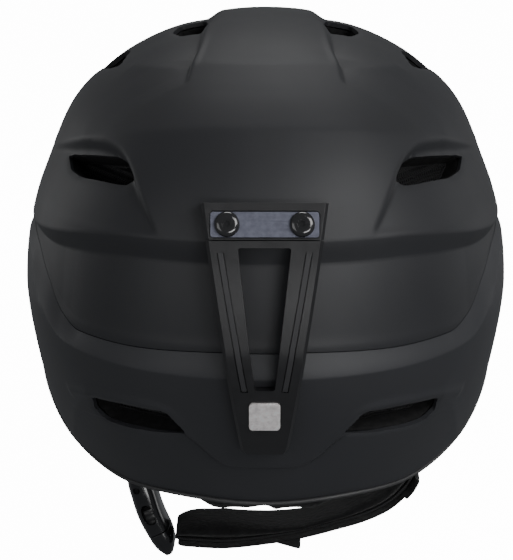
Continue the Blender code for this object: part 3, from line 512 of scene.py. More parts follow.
def skin(name, outer, inner, material, ring, outer_pole=None, inner_pole=None, sharp=40):
    """Closed solid between two point grids [row][column]."""
    rows, cols = outer.shape[:2]
    count = rows * cols
    verts = [outer.reshape(-1, 3), inner.reshape(-1, 3)]
    r, c = np.meshgrid(np.arange(rows - 1), np.arange(cols if ring else cols - 1), indexing="ij")
    nxt = (c + 1) % cols
    quads = np.stack([r * cols + c, r * cols + nxt, (r + 1) * cols + nxt, (r + 1) * cols + c], -1)
    quads = quads.reshape(-1, 4)
    faces = quads.tolist() + (quads + count)[:, ::-1].tolist()
    spans = [(k, (k + 1) % cols) for k in range(cols if ring else cols - 1)]
    base = (rows - 1) * cols
    faces += [(base + a, base + b, count + base + b, count + base + a) for a, b in spans]
    if outer_pole is None:
        faces += [(b, a, count + a, count + b) for a, b in spans]
    else:
        verts += [np.array([outer_pole]), np.array([inner_pole])]
        faces += [(2 * count, b, a) for a, b in spans]
        faces += [(2 * count + 1, count + a, count + b) for a, b in spans]
    if not ring:
        for c in (0, cols - 1):
            for k in range(rows - 1):
                a, b = k * cols + c, (k + 1) * cols + c
                faces.append((a, b, count + b, count + a))
    return add_mesh(name, np.concatenate(verts), faces, material, sharp)


def loft(name, sections, material, closed=False, sharp=40):
    """Closed solid through equal-length point loops; capped, or joined end to end."""
    sections = np.asarray(sections, float)
    rows, cols = sections.shape[:2]
    faces = []
    for k in range(rows if closed else rows - 1):
        j = (k + 1) % rows
        faces += [(k * cols + i, k * cols + (i + 1) % cols, j * cols + (i + 1) % cols, j * cols + i)
                  for i in range(cols)]
    if not closed:
        faces.append(tuple(range(cols)))
        faces.append(tuple(reversed(range((rows - 1) * cols, rows * cols))))
    return add_mesh(name, sections.reshape(-1, 3), faces, material, sharp)


def join_meshes(name, pieces):
    """One object from several; the others are removed."""
    bm = bmesh.new()
    for piece in pieces:
        bm.from_mesh(piece.data)
        bpy.data.objects.remove(piece, do_unlink=True)
    mesh = bpy.data.meshes.new(name)
    bm.to_mesh(mesh)
    bm.free()
    return add_object(name, mesh)


def apply_modifiers(piece):
    graph = bpy.context.evaluated_depsgraph_get()
    made = bpy.data.meshes.new_from_object(piece.evaluated_get(graph))
    piece.modifiers.clear()
    piece.data = made


def cut(piece, cutter, sharp=40):
    """Boolean difference, applied; the cutter is used up."""
    modifier = piece.modifiers.new("cut", "BOOLEAN")
    modifier.operation = "DIFFERENCE"
    modifier.solver = "EXACT"
    modifier.object = cutter
    bpy.context.view_layer.update()
    apply_modifiers(piece)
    bpy.data.objects.remove(cutter, do_unlink=True)
    piece.data.set_sharp_from_angle(angle=math.radians(sharp))


def bevel(piece, width, segments=3, angle=35):
    modifier = piece.modifiers.new("bevel", "BEVEL")
    modifier.width = width
    modifier.segments = segments
    modifier.limit_method = "ANGLE"
    modifier.angle_limit = math.radians(angle)
    modifier.harden_normals = True


def finish_piece(piece, body, slot, *nodes):
    """Rides the piece on its body and hides the CAD nodes it stands for; the finish given as slot is not used.
    """
    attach(piece, body)
    if nodes:
        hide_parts(*nodes)


# ---------------------------------------------------------------- vents

# Rear vents as (azimuth, mm), the others in plan as (x, y) mm, all on the right side.
REAR_UPPER_VENT = ((30, 70), (32.5, 66.3), (49.5, 63.7), (56, 64), (62, 68), (58, 70.4), (38.5, 76.8),
                   (33, 75))
REAR_LOWER_VENT = ((17, -47.2), (17.5, -44), (20.5, -35), (30.5, -35.2), (41, -36.4), (42, -43.8), (39, -49),
                   (26, -49.4), (18.5, -48.4))
TOP_VENT = ((27, -9), (40.5, -7), (45, 8), (42, 27), (30, 29))
SHOULDER_VENT = ((65, 12), (69, -13), (74, -4), (81, 22), (79, 40), (70, 34))
FRONT_VENT = ((14, 118), (34, 110), (37, 100), (15, 108))


def rear_outline(table, side):
    smooth = rounded(table)
    return outer_base(smooth[:, 0] * side, smooth[:, 1] * MM)


def top_outline(table, side):
    """Outline points lifted from plan positions onto the outer form."""
    smooth = rounded(table) * MM
    azimuth = np.degrees(np.arctan2(smooth[:, 0], -smooth[:, 1]))
    reach = np.hypot(smooth[:, 0], smooth[:, 1])
    low = np.zeros(len(smooth))
    high = np.full(len(smooth), CROWN_HEIGHT)
    for _ in range(30):
        middle = (low + high) / 2
        p = outer_base(azimuth, middle)
        outside = np.hypot(p[:, 0], p[:, 1]) > reach
        low = np.where(outside, middle, low)
        high = np.where(outside, high, middle)
    return np.stack([smooth[:, 0] * side, smooth[:, 1], low], 1)


def outline_normal(outline):
    middle = outline.mean(0)
    normal = np.cross(outline - middle, np.roll(outline, -1, 0) - middle).sum(0)
    normal /= np.linalg.norm(normal)
    return normal if normal @ middle > 0 else -normal


VENTS = {}
for letter, side in SIDES:
    VENTS["rear_upper_" + letter] = rear_outline(REAR_UPPER_VENT, side)
    VENTS["rear_lower_" + letter] = rear_outline(REAR_LOWER_VENT, side)
    VENTS["top_" + letter] = top_outline(TOP_VENT, side)
    VENTS["shoulder_" + letter] = top_outline(SHOULDER_VENT, side)
    VENTS["front_" + letter] = top_outline(FRONT_VENT, side)
UPPER_VENTS = [label for label in VENTS if "lower" not in label]
LOWER_VENTS = [label for label in VENTS if "lower" in label]


def vent_cutter(labels, out=0.014, deep=0.048):
    pieces = []
    for label in labels:
        outline = VENTS[label]
        normal = outline_normal(outline)
        pieces.append(loft("cutter_" + label, [outline + normal * out, outline - normal * deep], None))
    return join_meshes("vent_cutters", pieces)


def vent_lips(points, labels, depth=0.0008, reach=0.0012):
    """The shell's edge rolls in a little around each vent."""
    total = np.zeros(points.shape[:-1])
    for label in labels:
        total = np.maximum(total, np.exp(-line_distance(points, VENTS[label], True) / reach))
    return -depth * total


# ---------------------------------------------------------------- shells


def channel_share(azimuth):
    a = from_rear(azimuth)
    return np.interp(a, (0, 50, 72, 110, 140, 180), (1.0, 1.0, 0.45, 0.4, 0.0, 0.0))


def split_height(azimuth):
    """Height of the joint between the shells, or of the rim ahead of the lower shell."""
    rim = height_at(RIM, azimuth)
    joint = np.maximum(height_at(SEAM, azimuth), rim + 0.012)
    return np.where(from_rear(azimuth) > LOWER_SHELL_END, rim, joint)


# The side scoop's hood line over the rear upper vent, from its tip by the overhang, as (azimuth, mm).
SCOOP_LINE = ((20.5, 46.5), (23, 55), (25.5, 63), (28.5, 70.5), (31.5, 76), (35.5, 80), (41, 81), (50, 79),
              (61, 74.5), (72, 69.5), (84.5, 65), (98, 62))


def scoop_offset(azimuth, z, points):
    """The shell sinks below the hood line, deepest at the vents."""
    line = spline(SCOOP_LINE, 6)
    area = [*map(tuple, line), (98, 30), (20.5, 30)]
    a = from_rear(azimuth)
    within = inside(a, z / MM, area)
    result = np.zeros(np.shape(a))
    for side in (-1, 1):
        edge = outer_base(line[:, 0] * side, line[:, 1] * MM)
        reach = line_distance(points, edge)
        ramp = np.interp(z / MM, (46, 63, 80), (0.5, 4.2, 5.0)) * MM
        fade = np.interp(a, (20, 50, 72, 90, 98), (1, 1, 0.55, 0.22, 0.0))
        depth = 0.0047 * np.clip((z - 0.0455) / 0.030, 0, 1) ** 0.8 * fade
        result -= np.where(within & (np.sign(azimuth) == side), depth * ease(reach / ramp), 0)
    return result


# The crown panel's edge in plan, mm.
CROWN_EDGE = ((17, 96), (19, 60), (20.6, 30), (21.4, 12), (25.8, -0.5), (27.7, -24), (30.4, -51), (32.7, -66),
              (34, -80))


def crown_offset(points):
    """Outside the crown panel's edge the shell steps down and comes back further out; the edge has a lip."""
    line = spline(CROWN_EDGE, 6) * MM
    y = points[..., 1]
    order = np.argsort(line[:, 1])
    edge_x = np.interp(y, line[order, 1], line[order, 0])
    outside = np.abs(points[..., 0]) - edge_x
    ramp = np.interp(y, (-0.045, -0.015, 0.020), (0.0024, 0.0045, 0.0100))
    step = ease(outside / ramp) * np.where(outside > ramp, np.exp(-(outside - ramp) / 0.018), 1)
    strength = np.interp(y, (-0.078, -0.068, -0.050, -0.020, 0.060, 0.096), (0.0, 0.8, 1.5, 1.2, 0.9, 0.0))
    lip = np.exp(-((outside + 0.0012) / 0.0016) ** 2) * np.interp(y, (-0.072, -0.055, -0.010), (0, 1, 0))
    return (0.0005 * lip - 0.0030 * step * strength) * (points[..., 2] > 0.05)


def crease_offset(points):
    """Two soft horizontal ridges across the back of the crown."""
    total = 0
    for table, height, width in ((((0, 91.6), (15.5, 90.5), (34.5, 85.6), (52, 79)), 0.0012, 0.011),
                                 (((0, 113.5), (20, 113), (40, 110), (60, 106)), 0.0013, 0.009)):
        for side in (-1, 1):
            line = spline(table, 4)
            reach = line_distance(points, outer_base(line[:, 0] * side, line[:, 1] * MM))
            total = np.maximum(total, height * np.exp(-np.sqrt(reach ** 2 + 0.0015 ** 2) / width))
    return total


def column_azimuths(fine=0.6, coarse=1.5, rear=112):
    """Closer columns round the back, wider at the front."""
    back = np.linspace(-rear, rear, int(round(2 * rear / fine)) + 1)
    front = np.linspace(rear, 360 - rear, int(round((360 - 2 * rear) / coarse)) + 1)[1:-1]
    return np.concatenate([back, np.where(front > 180, front - 360, front)])


def upper_rows(az, top_rows, over_rows, floor_rows, top_psi=89.0):
    """Heights and channel drops of the upper shell's rows at each azimuth."""
    edge = height_at(OVERHANG_EDGE, az)
    foot = height_at(OVERHANG_FOOT, az)
    low = split_height(az) + SHELL_JOINT_GAP / 2
    depth = CHANNEL_DEPTH * channel_share(az)
    edge_psi = np.degrees(np.arcsin(np.minimum(1, (edge / CROWN_HEIGHT) ** 1.1)))
    rows, drops = [], []
    for i in range(top_rows):
        psi = np.radians(top_psi + (edge_psi - top_psi) * i / top_rows)
        rows.append(CROWN_HEIGHT * np.sin(psi) ** (1 / 1.1))
        drops.append(np.zeros(len(az)))
    for i in range(over_rows + 1):
        t = i / over_rows
        rows.append(edge + (foot - edge) * t)
        drops.append(-depth * (0.8 * t + 0.2 * ease(t)))
    for i in range(1, floor_rows + 1):
        t = i / floor_rows
        rows.append(foot + (low - foot) * t)
        drops.append(-depth * (1 - 0.1 * ease((t - 0.8) / 0.2)))
    return np.array(rows), np.array(drops)


def upper_offset(az_grid, z, drops, base):
    """Everything that moves the upper shell off the plain form, apart from the vents' lips."""
    above = ease((z - height_at(OVERHANG_EDGE, az_grid)) / 0.004)
    return drops + (scoop_offset(az_grid, z, base) + crease_offset(base)) * above + crown_offset(base)


def build_upper_shell():
    az = column_azimuths()
    z, drops = upper_rows(az, 110, 14, 26)
    az_grid = np.broadcast_to(az, z.shape)
    base = outer_base(az_grid, z)
    normal = normals_of(outer_base, az_grid, z)
    offset = upper_offset(az_grid, z, drops, base) + vent_lips(base, UPPER_VENTS)
    outer = base + normal * offset[..., None]
    inner = base + normal * (offset - SHELL_THICKNESS)[..., None]
    pole = Vector((0, 0, CROWN_HEIGHT + 0.0001))
    piece = skin("upper_shell_fine", outer, inner, MAT["upper"], True, pole,
                 pole - Vector((0, 0, SHELL_THICKNESS)))
    cut(piece, vent_cutter(UPPER_VENTS))
    finish_piece(piece, "helmet", "upper_shell_plastic", "upper_shell")


def build_lower_shell():
    count = int(2 * LOWER_SHELL_END / 0.6) + 1
    az = np.linspace(-LOWER_SHELL_END, LOWER_SHELL_END, count)
    band = height_at(BAND_FOOT, az)
    rim = height_at(RIM, az)
    top = split_height(az) - SHELL_JOINT_GAP / 2
    shoulder = np.maximum(np.minimum(band, top - 0.004), rim + 0.008)
    depth = CHANNEL_DEPTH * channel_share(az)
    rows, drops = [], []
    band_rows = 16
    for i in range(band_rows):
        t = i / band_rows
        rows.append(top + (shoulder - top) * t)
        drops.append(-depth * 0.9 * (1 - (0.75 * t + 0.25 * ease(t))))
    body_rows = 128
    for i in range(body_rows + 1):
        rows.append(shoulder + (rim - shoulder) * i / body_rows)
        drops.append(np.zeros(len(az)))
    z = np.array(rows)
    az_grid = np.broadcast_to(az, z.shape)
    base = outer_base(az_grid, z)
    normal = normals_of(outer_base, az_grid, z)
    offset = np.array(drops) + bumper_offset(az_grid, z, base) - 0.0007 * np.exp(-(z - rim) / 0.0012)
    offset = offset + vent_lips(base, LOWER_VENTS, 0.0007, 0.0010)
    outer = base + normal * offset[..., None]
    inner = base + normal * (offset - SHELL_THICKNESS)[..., None]
    # The lower shell's material carries painted light: its colour is lighter than the upper shell's to stand in
    # for lamp light.
    piece = skin("lower_shell_fine", outer, inner, MAT["lower"], False)
    cut(piece, vent_cutter(LOWER_VENTS))
    finish_piece(piece, "helmet", "lower_shell_plastic", "lower_shell")


# Lower edge of the proud centre panel, from the vent's inner tip to the centre line, as (azimuth, mm).
BUMPER_STEP = ((17.5, -47.5), (14.5, -55), (11.5, -62), (8.5, -65.2), (4, -65.8), (0, -65.8))
# The ridge from the vent's outer end down to the rim.
BUMPER_RIDGE = ((42, -35), (46, -41), (52, -50), (57, -59), (64.5, -73))


def bumper_offset(azimuth, z, points):
    """Step under the centre panel, hood over each vent, and the ridge behind each vent."""
    a = np.abs(azimuth)
    mm = z / MM
    total = np.zeros(np.shape(a))
    step = spline(BUMPER_STEP, 6)
    hood = spline(((17.5, -47.5), (20, -36), (24, -33.2), (31, -33.2), (38, -34), (44, -35.5), (50, -38)), 6)
    below = inside(a, mm, [*map(tuple, step[::-1]), (17.5, -47.5), (60, -47.5), (80, -100), (-5, -100),
                           (-5, -65.8)])
    ridge = spline(BUMPER_RIDGE, 6)
    for side in (-1, 1):
        on_side = np.sign(azimuth + 1e-9) == side
        reach = line_distance(points, outer_base(step[:, 0] * side, step[:, 1] * MM))
        sunk = np.where(below & on_side, 0.0022 * ease(reach / 0.0011) * np.exp(-reach / 0.022), 0)
        total -= sunk + np.where(on_side, 0.0012 * np.exp(-(reach / 0.0010) ** 2), 0)
        near = line_distance(points, outer_base(hood[:, 0] * side, hood[:, 1] * MM))
        total += np.where(on_side, 0.0009 * np.exp(-(near / 0.0030) ** 2), 0)
        far = line_distance(points, outer_base(ridge[:, 0] * side, ridge[:, 1] * MM))
        total += np.where(on_side, 0.0008 * np.exp(-np.sqrt(far ** 2 + 1e-6) / 0.006), 0)
    return total


build_upper_shell()
build_lower_shell()

# ---------------------------------------------------------------- foam liner, rim and vent meshes

FOAM_CLEARANCE = SHELL_THICKNESS + 0.0011


def build_foam():
    """Liner between the shells and the head: it follows the shell's channel and crown."""
    az = np.linspace(-180, 180, 241)[:-1]
    z, drops = upper_rows(az, 34, 4, 8, 86.0)
    rim = height_at(RIM, az)
    last = z[-1]
    steps = 14
    band = height_at(BAND_FOOT, az)
    for i in range(1, steps + 1):
        line = last + (rim - last) * i / steps
        share = np.clip((line - band) / np.maximum(last - band, 0.002), 0, 1)
        z = np.vstack([z, line])
        drops = np.vstack([drops, -CHANNEL_DEPTH * channel_share(az) * 0.9 * share])
    az_grid = np.broadcast_to(az, z.shape)
    base = outer_base(az_grid, z)
    offset = upper_offset(az_grid, z, drops, base) - FOAM_CLEARANCE
    outer = base + normals_of(outer_base, az_grid, z) * offset[..., None]
    inner = cavity_point(az_grid, np.where(z > 0, z * CAVITY_HEIGHT / CROWN_HEIGHT, z))
    piece = skin("foam_liner_fine", outer, inner, MAT["foam"], True,
                 Vector((0, 0, CROWN_HEIGHT - FOAM_CLEARANCE)), Vector((0, 0, CAVITY_HEIGHT)))
    cut(piece, vent_cutter(list(VENTS)))
    finish_piece(piece, "helmet", "foam", "foam_liner")


def build_rim_trim():
    """Soft bead under the rim, covering the edge between shell and foam."""
    az = np.linspace(-180, 180, 361)[:-1]
    edge = offset_points(outer_base, az, height_at(RIM, az), np.full(len(az), -0.0017))
    inward = -edge * np.array([1, 1, 0])
    inward /= np.linalg.norm(inward, axis=1, keepdims=True)
    drop = np.array([0, 0, -1.0])
    middle = edge + drop * 0.0008
    sections = [oval(p, i * 0.0019, drop * 0.0011, 14, 2.5) for p, i in zip(middle, inward)]
    piece = loft("rim_trim_fine", sections, MAT["trim"], True)
    finish_piece(piece, "helmet", "trim_rubber", "rim_trim")


def build_vent_mesh(label, depth, pitch=0.0019, strand=0.0006, inset=0.0011):
    """Guard in the vent: crossing strands inside a thin frame."""
    outline = VENTS[label]
    normal = outline_normal(outline)
    middle = outline.mean(0)
    flat = outline + normal * ((middle - outline) @ normal)[:, None]
    toward = middle - flat
    toward /= np.linalg.norm(toward, axis=1, keepdims=True)
    edge = flat + toward * inset - normal * (depth + 0.0008)
    across = np.cross(normal, [0, 0, 1.0])
    across /= np.linalg.norm(across)
    up = np.cross(across, normal)
    u, v = (edge - middle) @ across, (edge - middle) @ up
    bm = bmesh.new()
    cells_u = np.arange(math.floor(u.min() / pitch), math.ceil(u.max() / pitch) + 1)
    cells_v = np.arange(math.floor(v.min() / pitch), math.ceil(v.max() / pitch) + 1)
    polygon = list(zip(u, v))
    made = {}
    plane = middle - normal * (depth + 0.0008)

    def corner(i, j):
        if (i, j) not in made:
            shift = 0.5 * (j % 2)
            made[i, j] = bm.verts.new(plane + across * (i + shift) * pitch + up * j * pitch * 0.9)
        return made[i, j]

    for j in cells_v:
        for i in cells_u:
            centre_u = (i + 0.5 + 0.5 * (j % 2)) * pitch
            centre_v = (j + 0.5) * pitch * 0.9
            if inside(np.array(centre_u), np.array(centre_v), polygon):
                bm.faces.new((corner(i, j), corner(i + 1, j), corner(i + 1, j + 1), corner(i, j + 1)))
    mesh = bpy.data.meshes.new("mesh")
    bm.to_mesh(mesh)
    bm.free()
    net = add_object("net", mesh)
    wire = net.modifiers.new("wire", "WIREFRAME")
    wire.thickness = strand
    wire.use_replace = True
    bpy.context.view_layer.update()
    apply_modifiers(net)
    ring = []
    for p, t in zip(edge, toward):
        ring.append([p - t * 0.0002 + normal * 0.0006, p + t * 0.0011 + normal * 0.0006,
                     p + t * 0.0011 - normal * 0.0006, p - t * 0.0002 - normal * 0.0006])
    border = loft("border", ring, None, True)
    piece = join_meshes("vent_mesh_%s_fine" % label, [net, border])
    piece.data.materials.append(MAT["mesh"])
    finish_piece(piece, "helmet", "vent_mesh", "vent_mesh_" + label)


build_foam()
build_rim_trim()
for letter in "lr":
    for vent, depth in (("rear_upper_", 0.014), ("rear_lower_", 0.009), ("top_", 0.011),
                        ("shoulder_", 0.011)):
        build_vent_mesh(vent + letter, depth)

# ---------------------------------------------------------------- goggle retainer

STANDOFF = 0.0008
FACE = STANDOFF + 0.0050    # the retainer's front face above the outer form
BAR_TOP = 0.0624
BAR_BOTTOM = 0.0480
FRAME_TOP = 0.0476
FRAME_BOTTOM = -0.0505
WINDOW = ((-0.0116, 0.0462), (0.0116, 0.0462), (0.0045, -0.0185), (-0.0045, -0.0185))
SCREW_X = 0.0163
SCREW_Z = 0.0541
BADGE = (-0.0226, -0.0364, 0.0069)          # top, bottom, half width
PLATE = (0.0590, 0.0490, 0.0236)
PLATE_RECESS = (0.0594, 0.0486, 0.0240)
RECESS_MARGIN = 0.0004
RECESS_REACH = 0.003                         # how far the frame's cutters stand out of the face


def spine(x, z, offset):
    """Point on a sheet that follows the rear centre line and is straight across."""
    x, z, offset = np.broadcast_arrays(np.asarray(x, float), np.asarray(z, float), np.asarray(offset, float))
    p = offset_points(outer_base, np.zeros(z.shape), z, offset)
    p[..., 0] = x
    return p


def rear_point(x, z, offset):
    """Point above the outer form behind the given x and height."""
    x = np.asarray(x, float)
    low, high = np.full(x.shape, -80.0), np.full(x.shape, 80.0)
    for _ in range(36):
        middle = (low + high) / 2
        left = outer_base(middle, z)[..., 0] < x
        low = np.where(left, middle, low)
        high = np.where(left, high, middle)
    return offset_points(outer_base, low, np.broadcast_to(z, x.shape), np.broadcast_to(offset, x.shape))


def slab(name, heights, half_width, back, face, material, chamfer=0.0, curved_back=False):
    """Slab behind the helmet, symmetric about the centre line unless half_width gives (left, right)."""
    sections = []
    for z in heights:
        limits = half_width(z)
        left, right = limits if isinstance(limits, tuple) else (-limits, limits)
        front = [(left, face - chamfer), (left + chamfer, face), (right - chamfer, face),
                 (right, face - chamfer)]
        if not chamfer:
            front = [(left, face), (right, face)]
        xs = np.linspace(right, left, 9)
        rear = rear_point(xs, z, back) if curved_back else spine(xs, z, back)
        sections.append(np.concatenate([spine([x for x, _ in front], z, [o for _, o in front]), rear]))
    return loft(name, sections, material, sharp=30)


def corner_round(half, top, bottom, radius):
    """Half-width at each height of a rectangle with rounded corners."""
    def width(z):
        near = min(top - z, z - bottom)
        short = max(0.0, radius - near)
        return half - radius + math.sqrt(max(radius ** 2 - short ** 2, 0.0))
    return width


def end_heights(top, bottom, radius, count=6, middle=8):
    """Heights from top to bottom, closer together at the rounded ends."""
    ends = radius * (1 - np.cos(np.linspace(0, math.pi / 2, count)))
    inner = np.linspace(top - radius, bottom + radius, middle + 2)[1:-1]
    return np.concatenate([top - ends, inner, (bottom + ends)[::-1]])


def disc(name, centre, axis, profile, material, sides=48, lobes=None):
    """Turned piece from (distance, radius) stations along an axis."""
    axis = Vector(axis).normalized()
    u = axis.orthogonal().normalized()
    v = axis.cross(u)
    sections = []
    for distance, radius in profile:
        ring = []
        for i in range(sides):
            angle = 2 * math.pi * i / sides
            r = radius * (lobes(angle) if lobes else 1)
            ring.append(Vector(centre) + axis * distance + u * (r * math.cos(angle))
                        + v * (r * math.sin(angle)))
        sections.append(ring)
    return loft(name, sections, material)


def build_retainer():
    taper = 0.15
    bar = slab("retainer_bar_fine", np.linspace(BAR_TOP, BAR_BOTTOM, 14),
               lambda z: 0.0277 - (BAR_TOP - z) * taper, STANDOFF, FACE, MAT["retainer"], 0.0013, True)
    top, bottom, half = PLATE_RECESS
    cut(bar, slab("recess", np.linspace(top, bottom, 10), corner_round(half, top, bottom, 0.0012),
                  FACE - 0.0014, FACE + 0.004, None), sharp=30)
    bevel(bar, 0.00035)
    finish_piece(bar, "helmet", "retainer_rubber", "retainer_bar")

    top, bottom, half = PLATE
    plate = slab("retainer_plate_fine", end_heights(top, bottom, 0.0012),
                 corner_round(half, top, bottom, 0.0012), FACE - 0.0010, FACE - 0.0001, MAT["plate"])
    bevel(plate, 0.0002)
    finish_piece(plate, "helmet", "plate_metal", "retainer_plate")

    tip = 0.004

    def frame_half(z):
        half = 0.0105 + (z + 0.0506) / 0.0972 * 0.0150
        short = max(0.0, tip - (z - FRAME_BOTTOM))
        return half - tip * 0.35 + 0.35 * math.sqrt(max(tip ** 2 - short ** 2, 0.0))

    heights = np.concatenate([np.linspace(FRAME_TOP, FRAME_BOTTOM + tip, 44),
                              FRAME_BOTTOM + tip * (1 - np.sin(np.linspace(0, math.pi / 2, 6)))[1:]])
    frame_piece = slab("retainer_frame_fine", heights, frame_half, STANDOFF, FACE, MAT["retainer"], 0.0014)
    window = [Vector((x, -0.165, z)) for x, z in filleted(WINDOW, 0.0014)]
    cut(frame_piece, loft("window", [window, [p + Vector((0, 0.05, 0)) for p in window]], None), sharp=30)
    for letter, side in SIDES:
        def strip(margin, side=side):
            def limits(z):
                middle = side * (0.0084 + (z + 0.020) / 0.0625 * 0.0108)
                half = 0.0013 + margin
                return middle - half, middle + half
            return limits
        cut(frame_piece, slab("groove", np.linspace(0.0428, -0.0173, 24), strip(0.0003), FACE - 0.0013,
                              FACE + RECESS_REACH, None), sharp=30)
        inlay = slab("retainer_inlay_%s_fine" % letter, np.linspace(0.0450, -0.0170, 24), strip(-0.0001),
                     FACE - 0.0010, FACE - 0.0002, MAT["inlay"])
        bevel(inlay, 0.0002, 2)
        finish_piece(inlay, "retainer", "trim_rubber", "retainer_inlay_" + letter)
    top, bottom, half = BADGE
    high, low, wide = top + RECESS_MARGIN, bottom - RECESS_MARGIN, half + RECESS_MARGIN
    cut(frame_piece, slab("badge_recess", end_heights(high, low, 0.0020), corner_round(wide, high, low, 0.0020),
                          FACE - 0.0012, FACE + RECESS_REACH, None), sharp=30)
    bevel(frame_piece, 0.00035)
    finish_piece(frame_piece, "retainer", "retainer_rubber", "retainer_frame")
    badge = slab("retainer_badge_fine", end_heights(top, bottom, 0.0018),
                 corner_round(half, top, bottom, 0.0018), FACE - 0.0007, FACE + 0.0007, MAT["badge"])
    bevel(badge, 0.00045, 4)
    finish_piece(badge, "retainer", "badge_metal", "retainer_badge")

    axis = normals_of(outer_base, np.zeros(1), np.array([SCREW_Z]))[0]
    quarter = np.linspace(0, math.pi / 2, 10)
    dome = [(0.0003 + 0.0023 * math.sin(t), 0.0030 + 0.0026 * math.cos(t)) for t in quarter]
    profile = [(-0.0048, 0.0019), (0.0003, 0.0019), (0.0003, 0.0054), *dome, (0.0026, 0.0022),
               (0.0024, 0.0021)]
    for letter, side in SIDES:
        seat = spine(SCREW_X * side, SCREW_Z, FACE)
        screw = disc("retainer_screw_%s_fine" % letter, seat, axis, profile, MAT["steel"])
        cut(screw, disc("socket", seat + axis * 0.0011, axis, ((0, 0.0015), (0.004, 0.0015)), None, 6))
        bevel(screw, 0.00015, 2)
        finish_piece(screw, "helmet", "screw_steel", "retainer_screw_" + letter)


build_retainer()

# ---------------------------------------------------------------- pads and fit system


PAD_DEPTH = 0.0012
PAD_THICKNESS = 0.008
NAPE_THICKNESS = 0.0048      # thinner, to clear the fit dial
CROWN_PAD_THICKNESS = 0.006


def pillow(node, first, last, low, high, thickness, channels, cols=72, rows=30):
    """Stuffed pad lying in the liner's cavity, thinner towards its edges, with sewn channels across it."""
    s = np.linspace(-1, 1, cols)
    t = np.linspace(-1, 1, rows)
    az = first + (last - first) * (s + 1) / 2
    bottom = low(az) if callable(low) else np.full(cols, low)
    az_grid = np.broadcast_to(az, (rows, cols))
    z = high + (bottom - high) * (t[:, None] + 1) / 2
    crown = np.sqrt(np.clip(1 - np.abs(s[None, :]) ** 9, 0, 1) * np.clip(1 - np.abs(t[:, None]) ** 7, 0, 1))
    back = PAD_DEPTH + thickness * 0.30 * (1 - crown)
    front = PAD_DEPTH + thickness * (0.52 + 0.48 * crown)
    seams = np.zeros((rows, cols))
    for place in channels:
        seams = np.maximum(seams, np.exp(-((s[None, :] - place) * abs(last - first) * 0.75 / 1.1) ** 2))
    rim_seam = np.exp(-((1 - np.maximum(np.abs(s)[None, :], np.abs(t)[:, None]) - 0.14) / 0.035) ** 2)
    front = front - 0.0013 * np.maximum(seams, 0.7 * rim_seam)
    outer = offset_points(cavity_point, az_grid, z, -back)
    inner = offset_points(cavity_point, az_grid, z, -front)
    piece = skin(node + "_fine", outer, inner, MAT["fleece"], False, sharp=60)
    finish_piece(piece, "helmet", "fleece", node)


def nape_edge(azimuth):
    """The nape pad's gathered lower edge, with a small tab near the middle."""
    waves = 0.0009 * np.cos(np.radians(azimuth) * 11) + 0.0004 * np.cos(np.radians(azimuth) * 29)
    ends = 0.005 * ease((np.abs(azimuth) - 20) / 12)
    return -0.0986 + waves + ends - 0.0015 * np.exp(-((azimuth - 4) / 2.0) ** 2)


def build_pads():
    for node, first, last, low, high, thickness, channels in (
            ("front_pad", 132, 228, -0.008, 0.024, PAD_THICKNESS, (-0.5, 0, 0.5)),
            ("rear_pad", -38, 38, -0.018, 0.026, PAD_THICKNESS, (-0.4, 0.4)),
            ("side_pad_l", -122, -52, -0.012, 0.030, PAD_THICKNESS, (-0.35, 0.35)),
            ("side_pad_r", 52, 122, -0.012, 0.030, PAD_THICKNESS, (-0.35, 0.35)),
            ("nape_pad", -34, 34, nape_edge, -0.050, NAPE_THICKNESS, (-0.5, 0, 0.5))):
        pillow(node, first, last, low, high, thickness, channels)
    build_crown_pad()


def build_crown_pad():
    az = np.linspace(-180, 180, 97)[:-1]
    reach = np.array([0.02, 0.12, 0.25, 0.4, 0.55, 0.68, 0.8, 0.9, 0.97, 1.0])
    psi = 90 - reach * 32
    z = CAVITY_HEIGHT * np.sin(np.radians(psi))[:, None] * np.ones(len(az))
    az_grid = np.broadcast_to(az, z.shape)
    crown = np.sqrt(np.clip(1 - reach ** 8, 0, 1))[:, None]
    seam = np.exp(-((reach - 0.62) / 0.05) ** 2)[:, None]
    back = PAD_DEPTH + 0.0018 * (1 - crown)
    front = PAD_DEPTH + CROWN_PAD_THICKNESS * (0.5 + 0.5 * crown) - 0.001 * seam
    outer = offset_points(cavity_point, az_grid, z, -back * np.ones(z.shape))
    inner = offset_points(cavity_point, az_grid, z, -front * np.ones(z.shape))
    pole = Vector((0, 0, CAVITY_HEIGHT - PAD_DEPTH))
    piece = skin("crown_pad_fine", outer, inner, MAT["fleece"], True, pole,
                 pole - Vector((0, 0, CROWN_PAD_THICKNESS)), sharp=60)
    finish_piece(piece, "helmet", "fleece", "crown_pad")


def build_ear_pads():
    """Stuffed ear flaps with a piped seam round the face."""
    centre_y, centre_z, half_y, half_z = 0.012, -0.0675, 0.034, 0.0285
    outer, thick = 0.0762, 0.0125
    for letter, side in SIDES:
        sections = []
        for t in np.linspace(0, 1, 26):
            depth = thick * t
            edge = math.sqrt(max(0.0, 1 - abs(2 * t - 1) ** 3.0))
            inset = 0.0075 * (1 - edge) + 0.0008 * math.exp(-((t - 0.70) / 0.04) ** 2)
            sections.append(oval(((outer - depth) * side, centre_y, centre_z), (0, half_y - inset, 0),
                                 (0, 0, half_z - inset), 64, 3.0))
        for shrink in (0.86, 0.70, 0.52, 0.30):
            lift = 0.0012 * (1 - shrink)
            sections.append(oval(((outer - thick - lift * 0.2) * side, centre_y, centre_z),
                                 (0, (half_y - 0.0075) * shrink, 0), (0, 0, (half_z - 0.0075) * shrink), 64,
                                 2.8))
        piece = loft("ear_pad_%s_fine" % letter, sections, MAT["fleece"], sharp=60)
        finish_piece(piece, "ear_flap_" + letter, "fleece", "ear_pad_" + letter)


DIAL_CENTRE = Vector((0.0, -0.0668, -0.0838))


